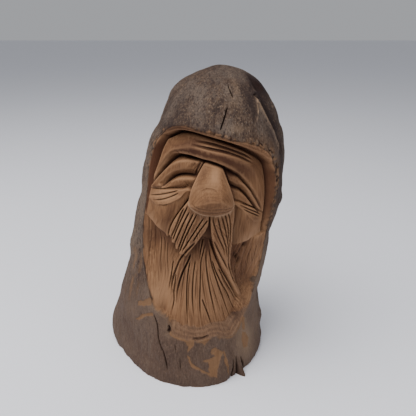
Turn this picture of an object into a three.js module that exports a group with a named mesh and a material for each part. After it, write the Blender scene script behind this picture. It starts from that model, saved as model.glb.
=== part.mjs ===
// A bearded gnome's face carved into one solid cypress knee, the cone of wood that a swamp
// cypress sends up from its roots. The bark stays on as the hood, the sides and the foot,
// and the knee stands on its flat sawn underside. Millimetres, +Z up, the face towards -Y.
import * as THREE from "three";
import { mergeVertices } from "three/addons/utils/BufferGeometryUtils.js";

// The whole knee
const HEIGHT = 230;
const WAIST = 55.3; // half width from the cheeks up to where the hood rounds over
const FOOT_FLARE = 11; // how much wider each side of the foot is
const FLARE_TOP = 85;
const SAWN_EDGE = 2.5; // the flare draws in again just above the saw cut
const HOOD_START = 140;
const LEAN = 27; // the top stands this far to the right of the foot
const LEAN_FROM = 15;
const LEAN_TO = 195;
const FRONT_DEPTH = 0.95; // depth in front of and behind the core, as a share of the half width
const BACK_DEPTH = 0.9;
const ARC = 52; // millimetres of the unrolled plan to one radian round the core

// Swellings and hollows of the bark: turn, height, how far out, spread of turn, spread of height
const SWELLS = [
  [-0.95, 0, -12, 0.5, 42],
  [-1.65, 20, 4, 0.25, 30],
  [0.35, 0, 4.5, 0.4, 24],
  [1.45, 172, -2.4, 0.4, 18],
  [-1.45, 182, 1.4, 0.4, 14],
  [-1.45, 76, -1.8, 0.4, 22],
  [1.5, 84, 1.6, 0.4, 22],
  [2.5, 10, 6, 0.32, 40],
  [-2.35, 0, 7, 0.35, 45],
  [3.1, 40, -4, 0.3, 60],
  [2, 30, -2.5, 0.2, 40],
  [2.9, 190, 3, 0.5, 30],
  [-2.6, 130, 2.5, 0.35, 40],
  [2.4, 120, -2, 0.3, 40],
];

// The carving is drawn on the unrolled front: across, up and, on a line, height off the bark.
// The opening cut through the bark, once round from the foot of the beard
const RIM = [
  [-10, 44], [-24, 58.5], [-35, 82], [-44.7, 98.8], [-50.3, 128.5], [-53, 146], [-60, 168],
  [-54.7, 183.7], [-43, 191.6], [-29.6, 193], [-7.3, 189], [10.5, 185], [31.2, 179.6],
  [43.8, 168.6], [48.6, 148.3], [53, 116], [58, 84], [53.6, 63], [42, 46.5], [35, 36.5],
  [21, 39.5], [7, 38.5],
];
// Lines across the face, from the temple to the other temple, top to bottom
const UNDER_RIM = [[-53, 183, -6.5], [-40.5, 186.7, -10], [-16.5, 185.3, -10], [3, 181, -10],
  [29, 171.7, -10], [43, 164, -9]];
const BROW_TOP = [[-54, 152, -0.7], [-50.3, 165.3, -3.5], [-43, 174, -5.5], [-25, 180.3, -5],
  [-2.5, 176.8, -5], [17.4, 170.7, -5.5], [37.4, 155, -6.5], [47.5, 133, -5]];
const BROW_FOOT = [[-53.5, 151, -1], [-50, 161.5, -4.5], [-42.5, 171, -7.2], [-29, 174.2, -7],
  [-8, 171.2, -7], [12, 165.3, -7.5], [29.8, 154.3, -7.5], [47, 131, -5]];
const EYE_FOLD = [[-54, 147.6, -0.7], [-46, 147.9, -5], [-27, 150.5, -10.5], [-5, 146.5, -11],
  [18.8, 141.8, -10.5], [32, 136, -9], [50, 127, -5]];
const CHEEK_RIDGE = [[-53, 136.3, -0.1], [-42, 137.3, -2.2], [-28.6, 142.9, -4.6],
  [-20, 149.3, -8.5], [-5, 142, -8.5], [19.5, 140.1, -8], [31.5, 130.5, -5.2], [43, 123.2, -4],
  [54, 120.6, -4.6]];
const CHEEK_FOOT = [[-53, 130, 0], [-44, 124.6, -1.2], [-31, 118.5, -5], [-27.5, 126, -9],
  [-19, 143, -9.5], [14, 144, -9.5], [20.5, 128, -9.3], [23, 112.2, -7], [36.6, 112.2, -4.6],
  [55, 112, -3.6]];
// The folds of the closed eyes: share of the way from the brow to the eye fold, extra height
const EYE_PROFILE = [[0, 0], [0.12, -4.5], [0.26, 0], [0.45, -1], [0.59, -3.6], [0.73, 1.2], [0.85, 0.8],
  [1, 0]];
const TEMPLES = [-53, 47]; // across, where the face panel ends on each side
const RECESS = 12.5; // depth of the groove round the face under the hood
const CHAMFER = 2.4; // depth of the flat cut along the hood's edge
const CHAMFER_WIDTH = 2.5;
const WALL_WIDTH = 5; // from the bark in to the foot of the groove's wall
const PANEL_EDGE = 2.6; // width of the slope from the groove up to the face
const CHEEK_HEIGHT = 138; // the groove between the temples and the hood closes below here

// Nose: a long wedge of flat knife cuts, its outline and where each cut passes
const NOSE = [[-13.3, 171.5], [-16.8, 156], [-14, 144.5], [-5, 138.2], [7, 138], [12.4, 144.5],
  [7, 159], [2.3, 168.5]];
const NOSE_CUTS = [
  [[-10.4, 169.5, -8], [1.6, 167.5, -8], [-3, 144, 8]],
  [[-10.6, 169.5, -8], [-15.5, 148, 4], [-5.5, 150, 6.6]],
  [[1.8, 167.5, -8], [3.6, 150, 5.8], [11.5, 147, 2.2]],
  [[-9, 146.5, 8.3], [5, 146, 8.3], [-2, 138.5, 6.6]],
];

// Moustache: on the left a short fan, on the right one long lock down to the bark
const FAN = [[-15.5, 147], [-23, 139], [-28.8, 121], [-25, 113.5], [-17.5, 104], [-8.5, 113.2],
  [-1, 124.5], [-1, 139]];
const FAN_HEIGHT = [-0.6, -2.8]; // at the nose and at the tips
const LOCK = [[-0.4, 139], [2, 125], [12.3, 105], [32, 74], [46, 58.5], [38, 72.5], [25.5, 98],
  [20.6, 120], [16.6, 141], [6, 145]];
const LOCK_HEIGHT = [-1.2, -3.2];

// Knife cuts: how many, how deep and how wide
const CUT_WIDTH = 3.8;
const BEARD_CUTS = 6;
const BEARD_CUT_DEPTH = 3;
const BEARD_TOP = 106;
const BEARD_END = 50;
const FAN_CUTS = 3;
const FAN_CUT_DEPTH = 2.2;
const LOCK_CUT_DEPTH = 1.6;
const TEMPLE_CUT_DEPTH = 2;
const FOREHEAD_CUT_DEPTH = 1.6;
const CRACK_DEPTH = 2.4;

// Weathering of the bark: a gouge down the right of the hood, a crack and a knot hole in the foot
const GOUGE = [[58, 224], [62, 203], [68, 180], [66, 160]];
const FOOT_CRACK = [[-26, 55], [-19, 38], [-11, 11]];
const KNOT = [-11.5, 45.5];

// The mesh: columns close together over the carving, rows closest over the face
const FRONT = 64; // across, each side of the middle
const FRONT_COLUMNS = 76;
const BACK_COLUMNS = 20;
const ROW_STEPS = [[0, 36, 3], [36, 112, 12], [112, 194, 30]];
const HOOD_ROWS = 6;

const clamp = (x) => Math.min(Math.max(x, 0), 1);
const mix = (a, b, t) => a + (b - a) * t;

function smooth(from, to, x) {
  const t = clamp((x - from) / (to - from));
  return t * t * (3 - 2 * t);
}

const bell = (away, spread) => Math.exp(-((away / spread) ** 2));

// Plain knee

function halfWidth(z) {
  const flare = FOOT_FLARE * clamp(1 - z / FLARE_TOP) ** 1.3;
  const edge = SAWN_EDGE * clamp(1 - z / 10) ** 2;
  const up = clamp((z - HOOD_START) / (HEIGHT - HOOD_START));
  return (WAIST + flare - edge) * Math.sqrt(1 - up * up);
}

const lean = (z) => LEAN * smooth(LEAN_FROM, LEAN_TO, z);

function plainRadius(turn, z) {
  const wide = halfWidth(z);
  if (wide < 1e-6) return 0;
  const deep = wide * (Math.cos(turn) > 0 ? FRONT_DEPTH : BACK_DEPTH);
  let radius = 1 / Math.hypot(Math.sin(turn) / wide, Math.cos(turn) / deep);
  for (const [at, height, out, turnSpread, heightSpread] of SWELLS) {
    const away = Math.atan2(Math.sin(turn - at), Math.cos(turn - at));
    radius += out * clamp(wide / 40) * bell(away, turnSpread) * bell(z - height, heightSpread);
  }
  return radius;
}

// Lines on the unrolled plan

// A smooth line through the given points, as short straight steps.
function drawn(points, closed = false) {
  const through = points.map(([u, z, h = 0]) => new THREE.Vector3(u, z, h));
  const curve = new THREE.CatmullRomCurve3(through, closed, "catmullrom", 0.5);
  return curve.getPoints(points.length * 5);
}

// Nearest place on a line: how far, on which side (1 is above a line drawn from left to
// right), the line's own height there and the share of the line up to there.
function nearest(line, u, z, endless = false) {
  let best = { far: Infinity, side: 0, level: 0, share: 0 };
  const last = line.length - 2;
  for (let i = 0; i <= last; i++) {
    const a = line[i];
    const b = line[i + 1];
    const du = b.x - a.x;
    const dz = b.y - a.y;
    const along = ((u - a.x) * du + (z - a.y) * dz) / (du * du + dz * dz);
    const from = endless && i === 0 ? -Infinity : 0;
    const to = endless && i === last ? Infinity : 1;
    const t = Math.min(Math.max(along, from), to);
    const x = u - a.x - t * du;
    const y = z - a.y - t * dz;
    const far = Math.hypot(x, y);
    if (far < best.far) {
      const level = mix(a.z, b.z, clamp(t));
      best = { far, side: Math.sign(du * y - dz * x), level, share: (i + clamp(t)) / (last + 1) };
    }
  }
  return best;
}

function inside(outline, u, z) {
  let odd = false;
  for (let i = 1; i < outline.length; i++) {
    const a = outline[i - 1];
    const b = outline[i];
    if (a.y > z !== b.y > z && u < a.x + ((z - a.y) / (b.y - a.y)) * (b.x - a.x)) odd = !odd;
  }
  return odd;
}

const rim = drawn(RIM, true);
const faceLines = [UNDER_RIM, BROW_TOP, BROW_FOOT, EYE_FOLD, CHEEK_RIDGE, CHEEK_FOOT].map(
  (points) => drawn(points),
);
const noseOutline = drawn(NOSE, true);
const fanOutline = drawn(FAN, true);
const lockOutline = drawn(LOCK, true);

// Carved surfaces, each a height off the bark

// Long hair and beard under the face, with the rough recess to the right of the lock.
function beard(u, z, inward) {
  const sideHair = -0.8 - 3.6 * smooth(0, 7, inward) - 1.6 * smooth(-34, -24, u);
  const middle = -5.6 - 0.0016 * (u - 8) ** 2 - 5.5 * smooth(84, 122, z) + 1.2 * (1 - smooth(45, 75, z));
  const hair = mix(sideHair, middle, smooth(-27, -19, u));
  const fromLock = u - mix(46, 19, smooth(50, 125, z));
  const recess = mix(-9, -0.6, smooth(4, 32, fromLock));
  const low = mix(hair, recess, smooth(-1.5, 1.5, fromLock) * smooth(56, 64, z));
  const ledge = -0.4 - 3.4 * smooth(0, 1.2, inward) - 4 * smooth(4.5, 10, inward);
  return Math.max(low, ledge - 12 * smooth(46, 64, z));
}

// The face between its lines, and how far the place lies under the cheeks.
function face(u, z) {
  const near = faceLines.map((line) => nearest(line, u, z, true));
  let height = near[0].level;
  for (let i = 0; i + 1 < near.length; i++) {
    if (near[i].side > 0) break;
    const share = near[i].far / (near[i].far + near[i + 1].far);
    height = mix(near[i].level, near[i + 1].level, share);
    if (i === 2) height += eyeFolds(clamp(share)) * smooth(-54, -36, u) * (1 - smooth(30, 47, u));
  }
  const last = near[near.length - 1];
  return { height, top: near[0], foot: last.level, under: last.side < 0 ? last.far : 0 };
}

function eyeFolds(share) {
  const next = EYE_PROFILE.findIndex(([at]) => at >= share);
  if (next < 1) return 0;
  const [from, low] = EYE_PROFILE[next - 1];
  const [to, high] = EYE_PROFILE[next];
  return mix(low, high, (share - from) / (to - from));
}

// Plane through three points of the plan.
function facet([a, b, c], u, z) {
  const normal = new THREE.Vector3(b[0] - a[0], b[1] - a[1], b[2] - a[2]).cross(
    new THREE.Vector3(c[0] - a[0], c[1] - a[1], c[2] - a[2]),
  );
  return a[2] - (normal.x * (u - a[0]) + normal.y * (z - a[1])) / normal.z;
}

// A raised piece of the carving: its own height inside its outline, nothing outside.
function raised(outline, u, z, edge, height) {
  if (!inside(outline, u, z)) return -Infinity;
  return height - edge * (1 - smooth(0, 2.4, nearest(outline, u, z).far));
}

// Knife cuts

// Across the beard, from the left of the chin to the lock, at a share from 0 to 1.
function beardAcross(share, z) {
  const down = (97 - z) / 47;
  return -10 + 4 * down + share * (23 + 21 * down);
}

const cuts = [];
const cut = (points, depth) => cuts.push({ line: drawn(points), depth });
for (let i = 0; i < BEARD_CUTS; i++) {
  const share = i / (BEARD_CUTS - 1);
  const points = [BEARD_TOP, 86, 68, BEARD_END].map((z) => [beardAcross(share, z), z]);
  cut(points, BEARD_CUT_DEPTH);
}
for (let i = 0; i < FAN_CUTS; i++) {
  const t = i / (FAN_CUTS - 1);
  const top = [mix(-16, -5, t), mix(142, 136, t)];
  const tip = [mix(-25, -9, t), mix(118, 111, t)];
  cut([top, [mix(-22, -6.5, t), mix(128, 121, t)], tip], FAN_CUT_DEPTH);
}
cut([[9, 134], [14, 115], [21.5, 96], [34, 74]], LOCK_CUT_DEPTH);
cut([[-50, 142.5], [-40, 145.5], [-30, 149]], TEMPLE_CUT_DEPTH);
cut([[20.5, 141], [32, 136.5], [44, 130]], TEMPLE_CUT_DEPTH);
cut([[-25.5, 183], [2.8, 179], [20, 173.5]], FOREHEAD_CUT_DEPTH);
cut(FOOT_CRACK, CRACK_DEPTH);

function knifeCuts(u, z) {
  let depth = 0;
  for (const { line, depth: deepest } of cuts) {
    const { far, share } = nearest(line, u, z);
    const taper = Math.sqrt(Math.min(share / 0.12, (1 - share) / 0.2, 1));
    depth = Math.max(depth, deepest * taper * clamp(1 - far / (CUT_WIDTH / 2)));
  }
  return depth;
}

const gouge = drawn(GOUGE);

function barkHeight(u, z) {
  const hollow = nearest(gouge, u, z);
  const fade = smooth(0, 0.15, hollow.share) * (1 - smooth(0.75, 1, hollow.share));
  return -3.2 * bell(hollow.far, 4.5) * fade - 3 * bell(Math.hypot(u - KNOT[0], z - KNOT[1]), 3);
}

// The hood's edge: a chamfer, then a wall down into the groove round the face.
function hoodWall(inward) {
  const wall = (RECESS - CHAMFER) * smooth(CHAMFER_WIDTH, WALL_WIDTH, inward);
  return -CHAMFER * smooth(0, CHAMFER_WIDTH, inward) - wall;
}

// The face panel, sunk to the groove past its top and its temples.
function panelInGroove(panel, u, z) {
  const fromTemple = Math.max(Math.min(u - TEMPLES[0], TEMPLES[1] - u), 0);
  const closed = 9 * (1 - smooth(CHEEK_HEIGHT, CHEEK_HEIGHT + 12, z));
  const fromGroove = panel.top.side > 0 ? 0 : Math.min(panel.top.far, fromTemple + closed);
  return mix(-RECESS, panel.height, smooth(0, PANEL_EDGE, fromGroove));
}

function height(u, z) {
  if (Math.abs(u) > FRONT + PANEL_EDGE) return 0;
  if (!inside(rim, u, z)) return barkHeight(u, z) - knifeCuts(u, z);
  const inward = nearest(rim, u, z).far;
  const panel = face(u, z);
  const ground = panel.under > 0
    ? mix(panel.foot, beard(u, z, inward), smooth(0, PANEL_EDGE, panel.under))
    : Math.max(hoodWall(inward), panelInGroove(panel, u, z));
  const surface = Math.max(
    ground,
    raised(noseOutline, u, z, 1.6, Math.min(...NOSE_CUTS.map((three) => facet(three, u, z)))),
    raised(fanOutline, u, z, 2.2, mix(FAN_HEIGHT[1], FAN_HEIGHT[0], smooth(106, 146, z))),
    raised(lockOutline, u, z, 2, mix(LOCK_HEIGHT[1], LOCK_HEIGHT[0], smooth(60, 130, z))),
  );
  return surface - knifeCuts(u, z);
}

// The height averaged over one cell of the mesh, which keeps the steep walls from coming out jagged.
function evened(u, z) {
  let sum = 0;
  for (const across of [-0.7, 0, 0.7]) {
    for (const up of [-1, 0, 1]) sum += height(u + across, z + up);
  }
  return sum / 9;
}

// Mesh

function columnTurns() {
  const front = FRONT / ARC;
  const turns = [];
  for (let i = 0; i <= BACK_COLUMNS / 2; i++) turns.push(mix(-Math.PI, -front, i / (BACK_COLUMNS / 2)));
  for (let i = 1; i < FRONT_COLUMNS; i++) turns.push(mix(-front, front, i / FRONT_COLUMNS));
  for (let i = 0; i <= BACK_COLUMNS / 2; i++) turns.push(mix(front, Math.PI, i / (BACK_COLUMNS / 2)));
  return turns;
}

function rowHeights() {
  const rows = [];
  for (const [from, to, steps] of ROW_STEPS) {
    for (let i = 0; i < steps; i++) rows.push(mix(from, to, i / steps));
  }
  const start = Math.asin((ROW_STEPS.at(-1)[1] - HOOD_START) / (HEIGHT - HOOD_START));
  for (let i = 0; i <= HOOD_ROWS; i++) {
    const angle = mix(start, Math.PI / 2, i / HOOD_ROWS);
    rows.push(HOOD_START + (HEIGHT - HOOD_START) * Math.sin(angle));
  }
  return rows;
}

// A lathe turning, with each of its corners moved out or in to the knee's carved surface.
function carvedKnee() {
  const turns = columnTurns();
  const rows = rowHeights();
  const profile = [new THREE.Vector2(0, 0), ...rows.map((z) => new THREE.Vector2(halfWidth(z), z))];
  const geometry = new THREE.LatheGeometry(profile, turns.length - 1);
  const position = geometry.attributes.position;
  turns.forEach((turn, column) => {
    profile.forEach((point, row) => {
      const z = point.y;
      const atAxis = row === 0 || row === profile.length - 1;
      const radius = atAxis ? 0 : plainRadius(turn, z) + evened(turn * ARC, z);
      const x = lean(z) + Math.sin(turn) * radius;
      position.setXYZ(column * profile.length + row, x, -Math.cos(turn) * radius, z);
    });
  });
  geometry.deleteAttribute("normal");
  geometry.deleteAttribute("uv");
  const merged = mergeVertices(geometry, 1e-3);
  merged.computeBoundingBox();
  const middle = merged.boundingBox.getCenter(new THREE.Vector3());
  merged.translate(-middle.x, -middle.y, -merged.boundingBox.min.z);
  merged.computeVertexNormals();
  return merged;
}

const wood = new THREE.MeshStandardMaterial({ color: 0x86654a, roughness: 0.8, metalness: 0 });

const group = new THREE.Group();
const knee = new THREE.Mesh(carvedKnee(), wood);
knee.name = "gnome_carving";
group.add(knee);

export default group;
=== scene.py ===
from math import pi, radians

import bmesh
import bpy
import numpy as np
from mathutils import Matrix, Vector


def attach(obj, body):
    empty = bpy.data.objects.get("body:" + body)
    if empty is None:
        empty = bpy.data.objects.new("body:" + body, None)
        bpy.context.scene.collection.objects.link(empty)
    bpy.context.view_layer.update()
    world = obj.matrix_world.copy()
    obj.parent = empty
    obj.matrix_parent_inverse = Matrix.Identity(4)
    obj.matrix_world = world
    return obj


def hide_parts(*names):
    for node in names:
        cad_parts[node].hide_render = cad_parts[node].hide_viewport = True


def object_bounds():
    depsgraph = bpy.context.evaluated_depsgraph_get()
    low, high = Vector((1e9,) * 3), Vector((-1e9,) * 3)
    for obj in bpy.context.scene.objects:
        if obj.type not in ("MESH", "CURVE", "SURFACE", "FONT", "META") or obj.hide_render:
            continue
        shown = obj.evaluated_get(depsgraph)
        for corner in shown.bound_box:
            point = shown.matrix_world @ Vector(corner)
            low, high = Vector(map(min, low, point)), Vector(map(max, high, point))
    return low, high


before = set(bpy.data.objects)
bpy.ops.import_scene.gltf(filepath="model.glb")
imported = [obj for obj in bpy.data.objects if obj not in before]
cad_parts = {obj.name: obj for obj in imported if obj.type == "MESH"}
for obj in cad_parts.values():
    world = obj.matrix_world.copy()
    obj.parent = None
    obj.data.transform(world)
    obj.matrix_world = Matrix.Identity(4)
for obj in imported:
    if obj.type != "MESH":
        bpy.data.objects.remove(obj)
cad_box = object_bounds()

# Camera
# A hand-held camera close in front of the carving, a little above its hood and looking down on
# it. So near, the hood looms and the foot falls away.
PHOTO_WIDTH = 416
FOCAL_LENGTH = 480  # in pixels of the photograph
CAMERA_PLACE = (0.0129, -0.3506, 0.257)
CAMERA_DOWN = radians(21)
NEAREST_SEEN = 0.02

camera_data = bpy.data.cameras.new("camera")
camera_data.lens = FOCAL_LENGTH / PHOTO_WIDTH * camera_data.sensor_width
camera_data.clip_start = NEAREST_SEEN
camera = bpy.data.objects.new("camera", camera_data)
camera.location = CAMERA_PLACE
camera.rotation_euler = (pi / 2 - CAMERA_DOWN, 0, 0)
bpy.context.scene.collection.objects.link(camera)
bpy.context.scene.camera = camera

# Studio
# A plain pale floor under soft light: a broad window to the left of the camera, a weak one
# to its right and the grey of the room all round.
FLOOR_SIZE = 16
FLOOR_COLOUR = (0.8, 0.81, 0.87, 1)
FLOOR_ROUGHNESS = 0.6
ROOM_COLOUR = (0.93, 0.95, 1, 1)
ROOM_STRENGTH = 0.42
LIGHT_TARGET = Vector((0.01, 0, 0.12))
SOFT_LIGHTS = {
    "window": {"place": (-0.4, -0.36, 1.1), "size": 1.15, "power": 23, "colour": (1, 0.985, 0.96)},
    "fill": {"place": (0.75, -0.6, 0.45), "size": 0.8, "power": 2.3, "colour": (0.95, 0.97, 1)},
}

for name, light in SOFT_LIGHTS.items():
    lamp_data = bpy.data.lights.new(name, "AREA")
    lamp_data.size = light["size"]
    lamp_data.energy = light["power"]
    lamp_data.color = light["colour"]
    lamp = bpy.data.objects.new(name, lamp_data)
    lamp.location = light["place"]
    lamp.rotation_euler = (LIGHT_TARGET - lamp.location).to_track_quat("-Z", "Y").to_euler()
    bpy.context.scene.collection.objects.link(lamp)

world = bpy.data.worlds.new("room")
world.use_nodes = True
world.node_tree.nodes["Background"].inputs["Color"].default_value = ROOM_COLOUR
world.node_tree.nodes["Background"].inputs["Strength"].default_value = ROOM_STRENGTH
bpy.context.scene.world = world

floor_mesh = bpy.data.meshes.new("floor")
floor_form = bmesh.new()
bmesh.ops.create_grid(floor_form, x_segments=1, y_segments=1, size=FLOOR_SIZE / 2)
floor_form.to_mesh(floor_mesh)
floor_form.free()
floor = bpy.data.objects.new("floor", floor_mesh)
bpy.context.scene.collection.objects.link(floor)
floor_paint = bpy.data.materials.new("floor_paint")
floor_paint.use_nodes = True
floor_shader = floor_paint.node_tree.nodes["Principled BSDF"]
floor_shader.inputs["Base Color"].default_value = FLOOR_COLOUR
floor_shader.inputs["Roughness"].default_value = FLOOR_ROUGHNESS
floor_mesh.materials.append(floor_paint)

# The knee
# One solid piece of wood, a knee that a swamp cypress sent up from its roots, sawn flat below.
# Its bark is left on as hood, sides and foot, and the face is cut in with knife and gouge.
# Its sizes are in millimetres from the middle of its foot.
NODE = "gnome_carving"
FOOT_PLACE = (-5.6, 3.44, 0)  # the middle of the foot in the part's own frame
HEIGHT = 230
WAIST = 55.3
FOOT_FLARE = 11
FLARE_TOP = 85
FLARE_CURVE = 1.3
SAWN_EDGE = 2.5
SAWN_EDGE_TOP = 10
HOOD_START = 140
LEAN = 27
LEAN_FROM = 15
LEAN_TO = 195
FRONT_DEPTH = 0.95
BACK_DEPTH = 0.9
SWELLS_FADE = 40  # half the width where swellings start to fade towards the top
ARC = 52  # millimetres of the unrolled plan to one radian round the core

# Swellings and hollows of the bark: turn, height, how far out, spread of turn, spread of height
SWELLS = [
    (-0.95, 0, -12, 0.5, 42),
    (-1.65, 20, 4, 0.25, 30),
    (0.35, 0, 4.5, 0.4, 24),
    (1.45, 172, -2.4, 0.4, 18),
    (-1.45, 182, 1.4, 0.4, 14),
    (-1.45, 76, -1.8, 0.4, 22),
    (1.5, 84, 1.6, 0.4, 22),
    (2.5, 10, 6, 0.32, 40),
    (-2.35, 0, 7, 0.35, 45),
    (3.1, 40, -4, 0.3, 60),
    (2, 30, -2.5, 0.2, 40),
    (2.9, 190, 3, 0.5, 30),
    (-2.6, 130, 2.5, 0.35, 40),
    (2.4, 120, -2, 0.3, 40),
]

# Smaller ones at the knee's outline: the hood's flat left shoulder and the steps of the bark
BARK_STEPS = [
    (-1.75, 216, 4.4, 0.6, 8.5),
    (-1.8, 229.5, -7.5, 0.8, 4.2),
    (1.5, 222, 3, 0.45, 10),
    (-1.5, 190, -2, 0.35, 8),
    (-1.5, 137, -2.2, 0.3, 11),
    (-1.4, 97, 1.3, 0.3, 6),
    (-1.66, 36, -2.4, 0.35, 13),
    (-0.97, 0, 4.4, 0.28, 12),
    (-0.62, 2, 1.6, 0.22, 8),
    (-0.2, 0, 0.8, 0.4, 5),
    (1.57, 191, -1.4, 0.25, 6),
    (1.42, 151, -2, 0.25, 9),
    (1.4, 133, 1.6, 0.2, 4),
    (1.4, 106, -2, 0.25, 9),
    (1.41, 53, -2.6, 0.25, 8),
    (1.5, 27, 2, 0.25, 6),
]

# Rows and columns of the mesh lie closest over the carving.
COLUMNS = 900
ROWS = 640
MOST_FACES = 190000
FRONT = 1.62  # radians each side of the middle
FRONT_COLUMNS = 0.86  # share of the columns between them
SEAM_GAP = 1e-4
ROW_SHARES = (0, 0.1, 0.43, 0.88, 1)
ROW_HEIGHTS = (0, 36, 112, 194)


def smooth(start, end, x):
    t = np.clip((x - start) / (end - start), 0, 1)
    return t * t * (3 - 2 * t)


def mix(a, b, t):
    return a + (b - a) * t


def bell(away, spread):
    return np.exp(-((away / spread) ** 2))


def half_width(z):
    flare = FOOT_FLARE * np.clip(1 - z / FLARE_TOP, 0, 1) ** FLARE_CURVE
    edge = SAWN_EDGE * np.clip(1 - z / SAWN_EDGE_TOP, 0, 1) ** 2
    up = np.clip((z - HOOD_START) / (HEIGHT - HOOD_START), 0, 1)
    return (WAIST + flare - edge) * np.sqrt(1 - up * up)


def lean(z):
    return LEAN * smooth(LEAN_FROM, LEAN_TO, z)


def plain_radius(turn, z):
    wide = np.maximum(half_width(z), 1e-6)
    deep = wide * np.where(np.cos(turn) > 0, FRONT_DEPTH, BACK_DEPTH)
    radius = 1 / np.hypot(np.sin(turn) / wide, np.cos(turn) / deep)
    for at, height, out, turn_spread, height_spread in SWELLS + BARK_STEPS:
        away = (turn - at + pi) % (2 * pi) - pi
        bump = bell(away, turn_spread) * bell(z - height, height_spread)
        radius += out * np.clip(wide / SWELLS_FADE, 0, 1) * bump
    return radius


def lattice(x, y, z, seed):
    """Smooth noise from -1 to 1, one wave to a unit, at the given places."""
    size = 32
    table = np.random.default_rng(seed).uniform(-1, 1, (size, size, size))
    cell = [np.floor(c).astype(int) for c in (x, y, z)]
    part = [c - i for c, i in zip((x, y, z), cell)]
    part = [p * p * (3 - 2 * p) for p in part]
    total = 0
    for corner in np.ndindex(2, 2, 2):
        weight = 1
        for p, k in zip(part, corner):
            weight = weight * (p if k else 1 - p)
        total = total + weight * table[tuple((i + k) % size for i, k in zip(cell, corner))]
    return total


column_turns = np.interp(
    np.arange(COLUMNS) / COLUMNS,
    [0, (1 - FRONT_COLUMNS) / 2, (1 + FRONT_COLUMNS) / 2, 1],
    [-pi, -FRONT, FRONT, pi],
)
row_share = np.clip((np.arange(ROWS + 1) - 1) / (ROWS - 1), 0, 1)
dome_start = np.arcsin((ROW_HEIGHTS[-1] - HOOD_START) / (HEIGHT - HOOD_START))
dome_angle = np.interp(row_share, ROW_SHARES[-2:], [dome_start, pi / 2])
row_heights = np.where(
    row_share < ROW_SHARES[-2],
    np.interp(row_share, ROW_SHARES[:-1], ROW_HEIGHTS),
    HOOD_START + (HEIGHT - HOOD_START) * np.sin(dome_angle),
)
turn, height = np.meshgrid(column_turns, row_heights)
core = plain_radius(turn, height)
place_x = lean(height) + np.sin(turn) * core
place_y = -np.cos(turn) * core

# The plan of the carving
# The front of the knee unrolled: across in millimetres, up, and on a line also the height off
# the bark. Every line is smooth through its few points, or straight from one to the next.
CARVED_TURN = 1.45

carved = np.abs(column_turns) < CARVED_TURN
across = turn[:, carved] * ARC
up = height[:, carved]


def noise(x_size, z_size, seed):
    """Smooth noise on the plan, in waves of the given width and height."""
    return lattice(across / x_size, 0 * across, up / z_size, seed)


def drawn(points, closed=False, straight=False, step=1.5):
    """Places a step apart along the line through the given points."""
    through = np.array(points, float)
    count = len(through)
    places = []
    for i in range(count if closed else count - 1):
        if closed:
            a, b, c, d = (through[(i + k) % count] for k in (-1, 0, 1, 2))
        else:
            a, b, c, d = (through[min(max(i + k, 0), count - 1)] for k in (-1, 0, 1, 2))
        steps = 1 if straight else max(1, round(np.hypot(*(c - b)[:2]) / step))
        for t in np.arange(steps) / steps:
            bend = (2 * a - 5 * b + 4 * c - d) * t**2 + (3 * b - a - 3 * c + d) * t**3
            places.append((2 * b + (c - a) * t + bend) / 2)
    places.append(through[0] if closed else through[-1])
    return np.array(places)


def nearest(points, reach=None, endless=False, closed=False, straight=False):
    """For places within reach of a line, or for the whole opening, the nearest place of the line:
    how far it is, on which side (above a line drawn from left to right is 1), its height and its
    share of the line's length."""
    line = drawn(points, closed, straight)
    far = np.full(across.shape, 1e3)
    side = np.zeros(across.shape)
    level = np.zeros(across.shape)
    share = np.zeros(across.shape)
    near = opening
    if reach:
        low, high = line.min(0) - reach, line.max(0) + reach
        near = (across > low[0]) & (across < high[0]) & (up > low[1]) & (up < high[1])
    u, z = across[near], up[near]
    best, on, at, run_share = far[near], side[near], level[near], share[near]
    run = np.append(0, np.cumsum(np.hypot(*np.diff(line[:, :2], axis=0).T)))
    for i, (a, b) in enumerate(zip(line[:-1], line[1:])):
        du, dz = b[0] - a[0], b[1] - a[1]
        along = ((u - a[0]) * du + (z - a[1]) * dz) / (du * du + dz * dz)
        start = -np.inf if endless and i == 0 else 0
        end = np.inf if endless and i == len(line) - 2 else 1
        t = np.clip(along, start, end)
        x, y = u - a[0] - t * du, z - a[1] - t * dz
        away = np.hypot(x, y)
        closer = away < best
        best[closer] = away[closer]
        on[closer] = np.sign(du * y - dz * x)[closer]
        t = np.clip(t, 0, 1)[closer]
        run_share[closer] = (run[i] + t * (run[i + 1] - run[i])) / run[-1]
        if len(a) > 2:
            at[closer] = a[2] + (b[2] - a[2]) * t
    far[near], side[near], level[near], share[near] = best, on, at, run_share
    return far, side, level, share


def inside(points, straight=False):
    """The places of the plan inside an outline."""
    outline = drawn(points, True, straight)
    odd = np.zeros(across.shape, bool)
    for a, b in zip(outline[:-1], outline[1:]):
        if a[1] != b[1]:
            crosses = (a[1] > up) != (b[1] > up)
            odd ^= crosses & (across < a[0] + (up - a[1]) / (b[1] - a[1]) * (b[0] - a[0]))
    return odd


def within(points, reach=12, straight=False):
    """How far each place lies inside an outline, less than nothing outside it."""
    far = nearest(points, reach, closed=True, straight=straight)[0]
    return np.where(inside(points, straight), far, -far)


# Bark
# Long soft ridges with a fine crust on them. Round the sides and the back it has dried open in
# long cracks.
BARK_LEVEL = -0.5
BARK_RIDGES = (  # how high, how wide, how long, seed
    (0.8, 14, 45, 1),
    (0.5, 6, 22, 2),
    (0.34, 2.4, 8, 3),
    (0.16, 1.1, 2, 4),
)
FISSURE_DEPTH = 0.9
FISSURE_WIDTH = 0.035  # a share of the waves that they follow
FISSURES_FROM = 1.1  # radians from the middle of the front
FISSURES_FULL = 1.5


def bark_noise(wide, long, seed):
    """Smooth noise all round the knee, in waves of the given width and length."""
    return lattice(place_x / wide, place_y / wide, height / long, seed)


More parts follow.
